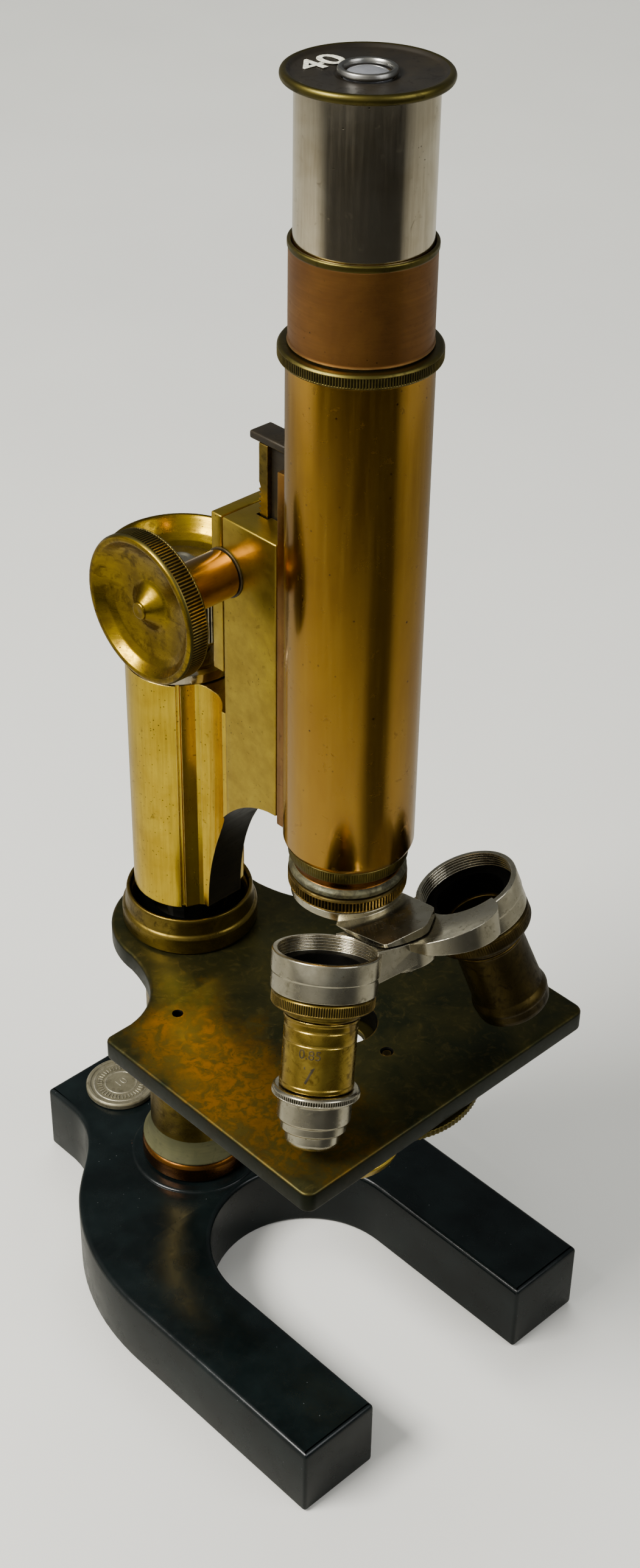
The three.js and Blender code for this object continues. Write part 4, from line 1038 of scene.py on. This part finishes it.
def build_eyepiece():
    at = (0, tube_y)
    shell = [[9, 196], [12.5, 196], [12.76, 196.4], [12.76, 312.1], [11.9, 312.1], [11.9, 197.5], [9, 197.5]]
    attach(turned("drawtube_shell", shell, finish["nickel"], at=at, segments=192),
           "drawtube", "drawtube", slot="nickel")
    inner = [[10.7, 268], [11.6, 268], [11.6, 312.1], [10.7, 312.1]]
    attach(turned("eyepiece_barrel", inner, finish["nickel"], at=at), "eyepiece", "eyepiece_tube", slot="nickel")
    cap = [[4.7, 312.4], [14.4, 312.4], [15.0, 312.7], [15.24, 313.2], [15.24, 313.7], [15.0, 314.2],
           [14.6, 314.45], [14.1, 314.4], [13.7, 314.1], [13.3, 313.75], [12.2, 313.6], [5.9, 313.4],
           [5.5, 313.2], [4.7, 313.2]]
    rim = (finish["knurl"], lambda r, z: r > 14)
    top = turned("eyepiece_top", cap, finish["black"], at=at, soft=0.3, bands=[rim])
    attach(top, "eyepiece", "eyepiece_cap", slot="blackened_brass")
    ring = [[4.2, 313.8], [5.3, 313.6], [5.4, 314], [5.2, 314.6], [4.9, 314.8], [4.5, 314.7], [4.3, 314.3]]
    attach(turned("eye_lens_mount", ring, finish["steel"], at=at, soft=0.1),
           "eyepiece", "eye_lens_ring", slot="nickel")
    dome = [[0, 310], [2.6, 310.3], [4.3, 310.8], [4.3, 313.2], [3.6, 313.8], [2.4, 314.2], [1.2, 314.4],
            [0, 314.45]]
    attach(turned("eye_lens_dome", dome, finish["lens"], at=at), "eyepiece", "eye_lens", slot="lens_glass")
    field = [[0, 270.2], [3.5, 270.4], [6.8, 270.9], [9, 271.5], [10.3, 272.4], [10.3, 273.6], [0, 273.6]]
    attach(turned("field_lens_disc", field, finish["lens"], at=at), "eyepiece", "field_lens", slot="lens_glass")
    number = lettering("eyepiece_number", "40", 9.4, finish["paint"], 0.06,
                       lambda p: Vector((p.x - 2.3, tube_y + 8.9 + 0.8 * p.y, 313.66 + p.z)), bold=0.16)
    attach(number, "eyepiece", slot="blackened_brass")


# ---------------------------------------------------------------- revolving nosepiece
NOSE_REACH = 70.0  # from the apex, where the socket axes meet, to the rim of a socket
SOCKET_TURNS = {"a": -93.8, "b": 86.4}  # degrees about the pivot from the working position

pivot = joint("nosepiece_turn")
pivot_down = Vector(pivot["axis"]).normalized()
pivot_point = Vector(pivot["pos_m"]) / MM
lean = math.acos(-pivot_down.z)
span = NOSE_REACH * math.sin(lean)
apex = pivot_point - pivot_down * NOSE_REACH * math.cos(lean)


def objective_down(turn):
    return Matrix.Rotation(math.radians(turn), 3, pivot_down) @ Vector((0, 0, -1))


def socket_centre(turn):
    return apex + objective_down(turn) * NOSE_REACH


towards_b = socket_centre(SOCKET_TURNS["b"]) - pivot_point


def frame_at(origin, up):
    z = up.normalized()
    x = (towards_b - z * towards_b.dot(z)).normalized()
    return Matrix.Translation(origin) @ Matrix((x, z.cross(x), z)).transposed().to_4x4()


pivot_frame = frame_at(pivot_point, -pivot_down)
sockets = {key: frame_at(socket_centre(turn), -objective_down(turn)) for key, turn in SOCKET_TURNS.items()}


def swept_cone(lift, material):
    """The cone swept by the socket rims, with everything below it."""
    slope = math.tan(lean)
    low = -span * slope + lift
    return turned("cone", [[0, -60], [40, -60], [40, low + 40 * slope], [0, low]], material,
                  matrix=pivot_frame, soft=0, segments=192)


def build_fixed_plate():
    metal_here = finish["worn_nickel"]
    tongue = rounded([(-9.5, 14), (-8.9, -6.7), (2.1, -6.7), (8.9, -1.6), (9.5, 14)], 1.4)
    body = plate("nosepiece_plate", [tongue], -6, -1.2, 0.0, metal_here, matrix=pivot_frame)
    join(body, turned("disc", [[0, 134.8], [12.2, 134.8], [12.2, 139.6], [0, 139.6]], metal_here, at=(0, tube_y)))
    cone = swept_cone(0.35, metal_here)
    cut(body, cone)
    cut(body, block_of("below", -40, 40, -100, 30, 100, 136.8, metal_here))
    join(body, turned("spigot", [[0, 137], [10.1, 137], [10.1, 149.9], [0, 149.9]], metal_here, at=(0, tube_y)))
    cut(body, turned("bore", [[0, 120], [8.8, 120], [8.8, 160], [0, 160]], finish["black"], at=(0, tube_y)))
    attach(body, "body_tube", "nosepiece_fixed_plate", slot="nickel")


def build_arm():
    metal_here = finish["worn_nickel"]
    tab = [Vector((-4, -3)), Vector((-2.2, -11.5))]
    tab += curve_to((-2.2, -11.5), (2, -17.7), (8, -17.9), 8)
    tab += curve_to((8, -17.9), (13.2, -17.8), (15.4, -14.6), 8)
    tab += curve_to((15.4, -14.6), (17.6, -11.3), (17.6, -8.4), 6)
    tab += [Vector((14, -4)), Vector((9, 3))]
    arm = turned("nosepiece_swing_arm", [[0, -9.6], [7.2, -9.6], [7.2, 2], [0, 2]], metal_here,
                 matrix=pivot_frame, segments=96)
    join(arm, block_of("bar", -span, span, -7, 7, -8.6, 2, metal_here, matrix=pivot_frame))
    join(arm, plate("tab", [tab], -4.9, 3, 0.0, metal_here, matrix=pivot_frame))
    combine(arm, swept_cone(0, metal_here), "INTERSECT")
    for key in "ab":
        ring = [[0, -8.3], [11.1, -8.3], [11.2, -8.1], [11.2, -4.6], [11.4, -4.3], [11.4, -0.2], [11.2, 0],
                [0, 0]]
        join(arm, turned("ring", ring, metal_here, matrix=sockets[key], soft=0.1))
    for key in "ab":
        thread = [[0, -14], [10.2, -14], [10.2, -3.4]]
        for i in range(5):
            z = -3.4 + i * 0.66
            thread += [[10.2, z + 0.2], [10.65, z + 0.42], [10.2, z + 0.64]]
        thread += [[10.5, 0.1], [10.5, 6], [0, 6]]
        cut(arm, turned("thread", thread, metal_here, matrix=sockets[key], soft=0, segments=96))
    cut(arm, turned("hole", [[0, -14], [2.7, -14], [2.7, 4], [0, 4]], metal_here, matrix=pivot_frame,
                    segments=48))
    attach(arm, "nosepiece", "nosepiece_arm", slot="nickel")


# ---------------------------------------------------------------- objectives
def flipped(profile):
    """Heights that are written as depths below the socket's rim."""
    return [[r, -depth] for r, depth in profile]


def build_objective_a():
    place = sockets["a"]
    collar = [[7.6, 3.2], [9.85, 3.2], [9.85, 8.6], [10.5, 8.6], [10.8, 8.9], [10.9, 9.2], [10.9, 11.2],
              [10.6, 11.6], [9.2, 11.9], [8.6, 12.0], [8.3, 12.3], [8.45, 12.8], [8.3, 13.3], [6.8, 13.4],
              [6.8, 9], [7.6, 9]]
    # painted shade: the collar's inner faces are near-black
    hollow = (finish["inside"], lambda r, z: r < 9.95 and z > -9)
    attach(turned("objective_a_collar_ring", flipped(collar), finish["brown"], matrix=place, bands=[hollow],
                  ripple=(-11.1, -9.1, 130, 0.14, finish["groove_shade"])), "nosepiece", "objective_a_collar", slot="brown_brass")
    barrel = [[6.6, 13.7], [8, 13.7], [8, 14.3], [7.75, 14.5], [7.75, 15.6], [7.62, 15.7], [7.62, 15.9],
              [7.75, 16], [7.75, 18.6], [7.65, 18.7], [7.65, 18.9], [7.75, 19], [7.75, 28], [7.9, 28.2],
              [7.9, 29.1], [6.6, 29.1]]
    attach(turned("objective_a_barrel_tube", flipped(barrel), finish["barrel"], matrix=place, soft=0.08),
           "nosepiece", "objective_a_barrel", slot="yellow_brass")
    tip = [[4.9, 29.4], [8.7, 29.4], [9.2, 29.8], [9.3, 30.1], [9.3, 31.0], [9.0, 31.5], [8.2, 31.8],
           [7.8, 32.1], [7.8, 36.4], [7.5, 36.8], [7, 37], [7, 38.7], [6.6, 39.1], [5.9, 39.3], [5.8, 41.2],
           [5.5, 41.8], [4.8, 42.5], [2.6, 42.6], [2.6, 41.6], [4.9, 38.4]]
    attach(turned("objective_a_tip", flipped(tip), finish["worn_nickel"], matrix=place, soft=0.15,
                  ripple=(-31.0, -30.1, 110, 0.16, finish["groove_shade"])), "nosepiece", "objective_a_nose", slot="nickel")
    lens = [[0, 40], [2.3, 40], [2.3, 41.8], [1.2, 42.2], [0, 42.3]]
    attach(turned("objective_a_front_lens", flipped(lens), finish["lens"], matrix=place, segments=48),
           "nosepiece", "objective_a_lens", slot="lens_glass")
    facing = math.radians(218)
    for name, text, size, depth in (("power", "7", 5.4, 25.2), ("aperture", "0.85", 2.9, 20.6)):
        def wrap(p, depth=depth):
            angle = facing + p.x / 7.75
            radius = 7.73 + p.z
            return place @ Vector((radius * math.cos(angle), radius * math.sin(angle), p.y - depth))
        attach(lettering("objective_a_" + name, text, size, finish["black"], 0.12, wrap),
               "nosepiece", slot="brown_brass")


def build_objective_b():
    place = sockets["b"]
    collar = [[7.6, 3.2], [9.85, 3.2], [9.85, 8.6], [10.7, 8.6], [11.1, 9.0], [11.2, 9.4], [11.2, 11.7],
              [10.9, 12.3], [10.2, 12.8], [8.9, 13.2], [8.4, 13.5], [8.5, 14.1], [8.3, 14.7], [6.8, 14.8],
              [6.8, 9], [7.6, 9]]
    # painted shade: the collar's inner faces are near-black
    hollow = (finish["inside"], lambda r, z: r < 9.95 and z > -9)
    attach(turned("objective_b_collar_ring", flipped(collar), finish["dark"], matrix=place, bands=[hollow],
                  ripple=(-11.5, -9.5, 130, 0.14, finish["groove_shade"])), "nosepiece", "objective_b_collar", slot="brown_brass")
    barrel = [[6.6, 15.1], [8.0, 15.1], [8.0, 15.7], [7.8, 15.9], [7.9, 20], [8.05, 27.6], [8.1, 29.2],
              [8.5, 30.0], [8.7, 30.7], [8.7, 31.3], [8.5, 31.8], [8.4, 33.4], [8.1, 34.4], [7.6, 34.8],
              [5.4, 34.9], [4.6, 33.9], [4.6, 32.3], [6.6, 30.9]]
    attach(turned("objective_b_barrel_tube", flipped(barrel), finish["dark"], matrix=place),
           "nosepiece", "objective_b_barrel", slot="brown_brass")
    lens = [[0, 31.3], [4.1, 31.3], [4.1, 33.2], [2.2, 33.7], [0, 33.9]]
    attach(turned("objective_b_front_lens", flipped(lens), finish["lens"], matrix=place, segments=64),
           "nosepiece", "objective_b_lens", slot="lens_glass")


# ---------------------------------------------------------------- mirror
def build_mirror():
    tilt = math.radians(20)
    spot = centre("mirror_glass") / MM
    height = joint("mirror_tilt")["pos_m"][2] / MM
    place = Matrix.Translation((0, tube_y, height)) @ Matrix.Rotation(tilt, 4, "X")
    if (place @ Vector((0, 0, 1.2)) - spot).length > 0.2:
        place = Matrix.Translation((0, tube_y, height)) @ Matrix.Rotation(-tilt, 4, "X")
    cell = [[0, -2.6], [11, -2.6], [13.2, -2.2], [14.6, -1.2], [15, -0.4], [15, 1.8], [14.7, 2.2],
            [14, 2.2], [13.9, 1.9], [13.9, 0.2], [0, 0.2]]
    cell_piece = turned("mirror_cell", cell, finish["satin"], matrix=place)
    pins = []
    for side in (-1, 1):
        turn = place @ Matrix.Rotation(side * math.pi / 2, 4, "Y")
        pins.append(turned("pin", [[0, 13.5], [0.9, 13.5], [0.9, 18.4], [0.6, 18.6], [0, 18.6]], finish["satin"],
                           matrix=turn, segments=32))
    attach(cell_piece, "mirror", "mirror_frame", slot="satin_brass")
    attach(merged("mirror_pins", pins), "mirror", slot="satin_brass")
    glass_disc = [[0, 0.5], [13.5, 0.5], [13.6, 0.7], [13.6, 1.7], [13.3, 1.9], [0, 1.9]]
    attach(turned("mirror_disc", glass_disc, finish["mirror"], matrix=place), "mirror", "mirror_glass",
           slot="silvered_glass")


# ---------------------------------------------------------------- pieces that keep their CAD shape
def dress(node, material):
    piece = frame["nodes"][node]
    piece.data.materials.clear()
    piece.data.materials.append(material)


build_foot()
build_pillar()
build_plaque()
build_stage()
build_aperture_disc()
build_sleeve()
build_block()
build_fine_focus()
build_knobs()
build_tube()
build_rack()
build_eyepiece()
build_fixed_plate()
build_arm()
build_objective_a()
build_objective_b()
build_mirror()

for kept, look in (
    ("foot_bolt", "steel"), ("aperture_disc_screw", "dark"), ("mirror_bracket", "brown"),
    ("mirror_fork", "brown"), ("prism_bar", "steel"), ("fine_spring", "steel"),
    ("back_plate_screw_lower", "brown"), ("back_plate_screw_upper", "brown"),
    ("micrometer_screw", "steel"), ("pinion", "steel"), ("nosepiece_pivot_screw", "worn_nickel"),
):
    dress(kept, finish[look])
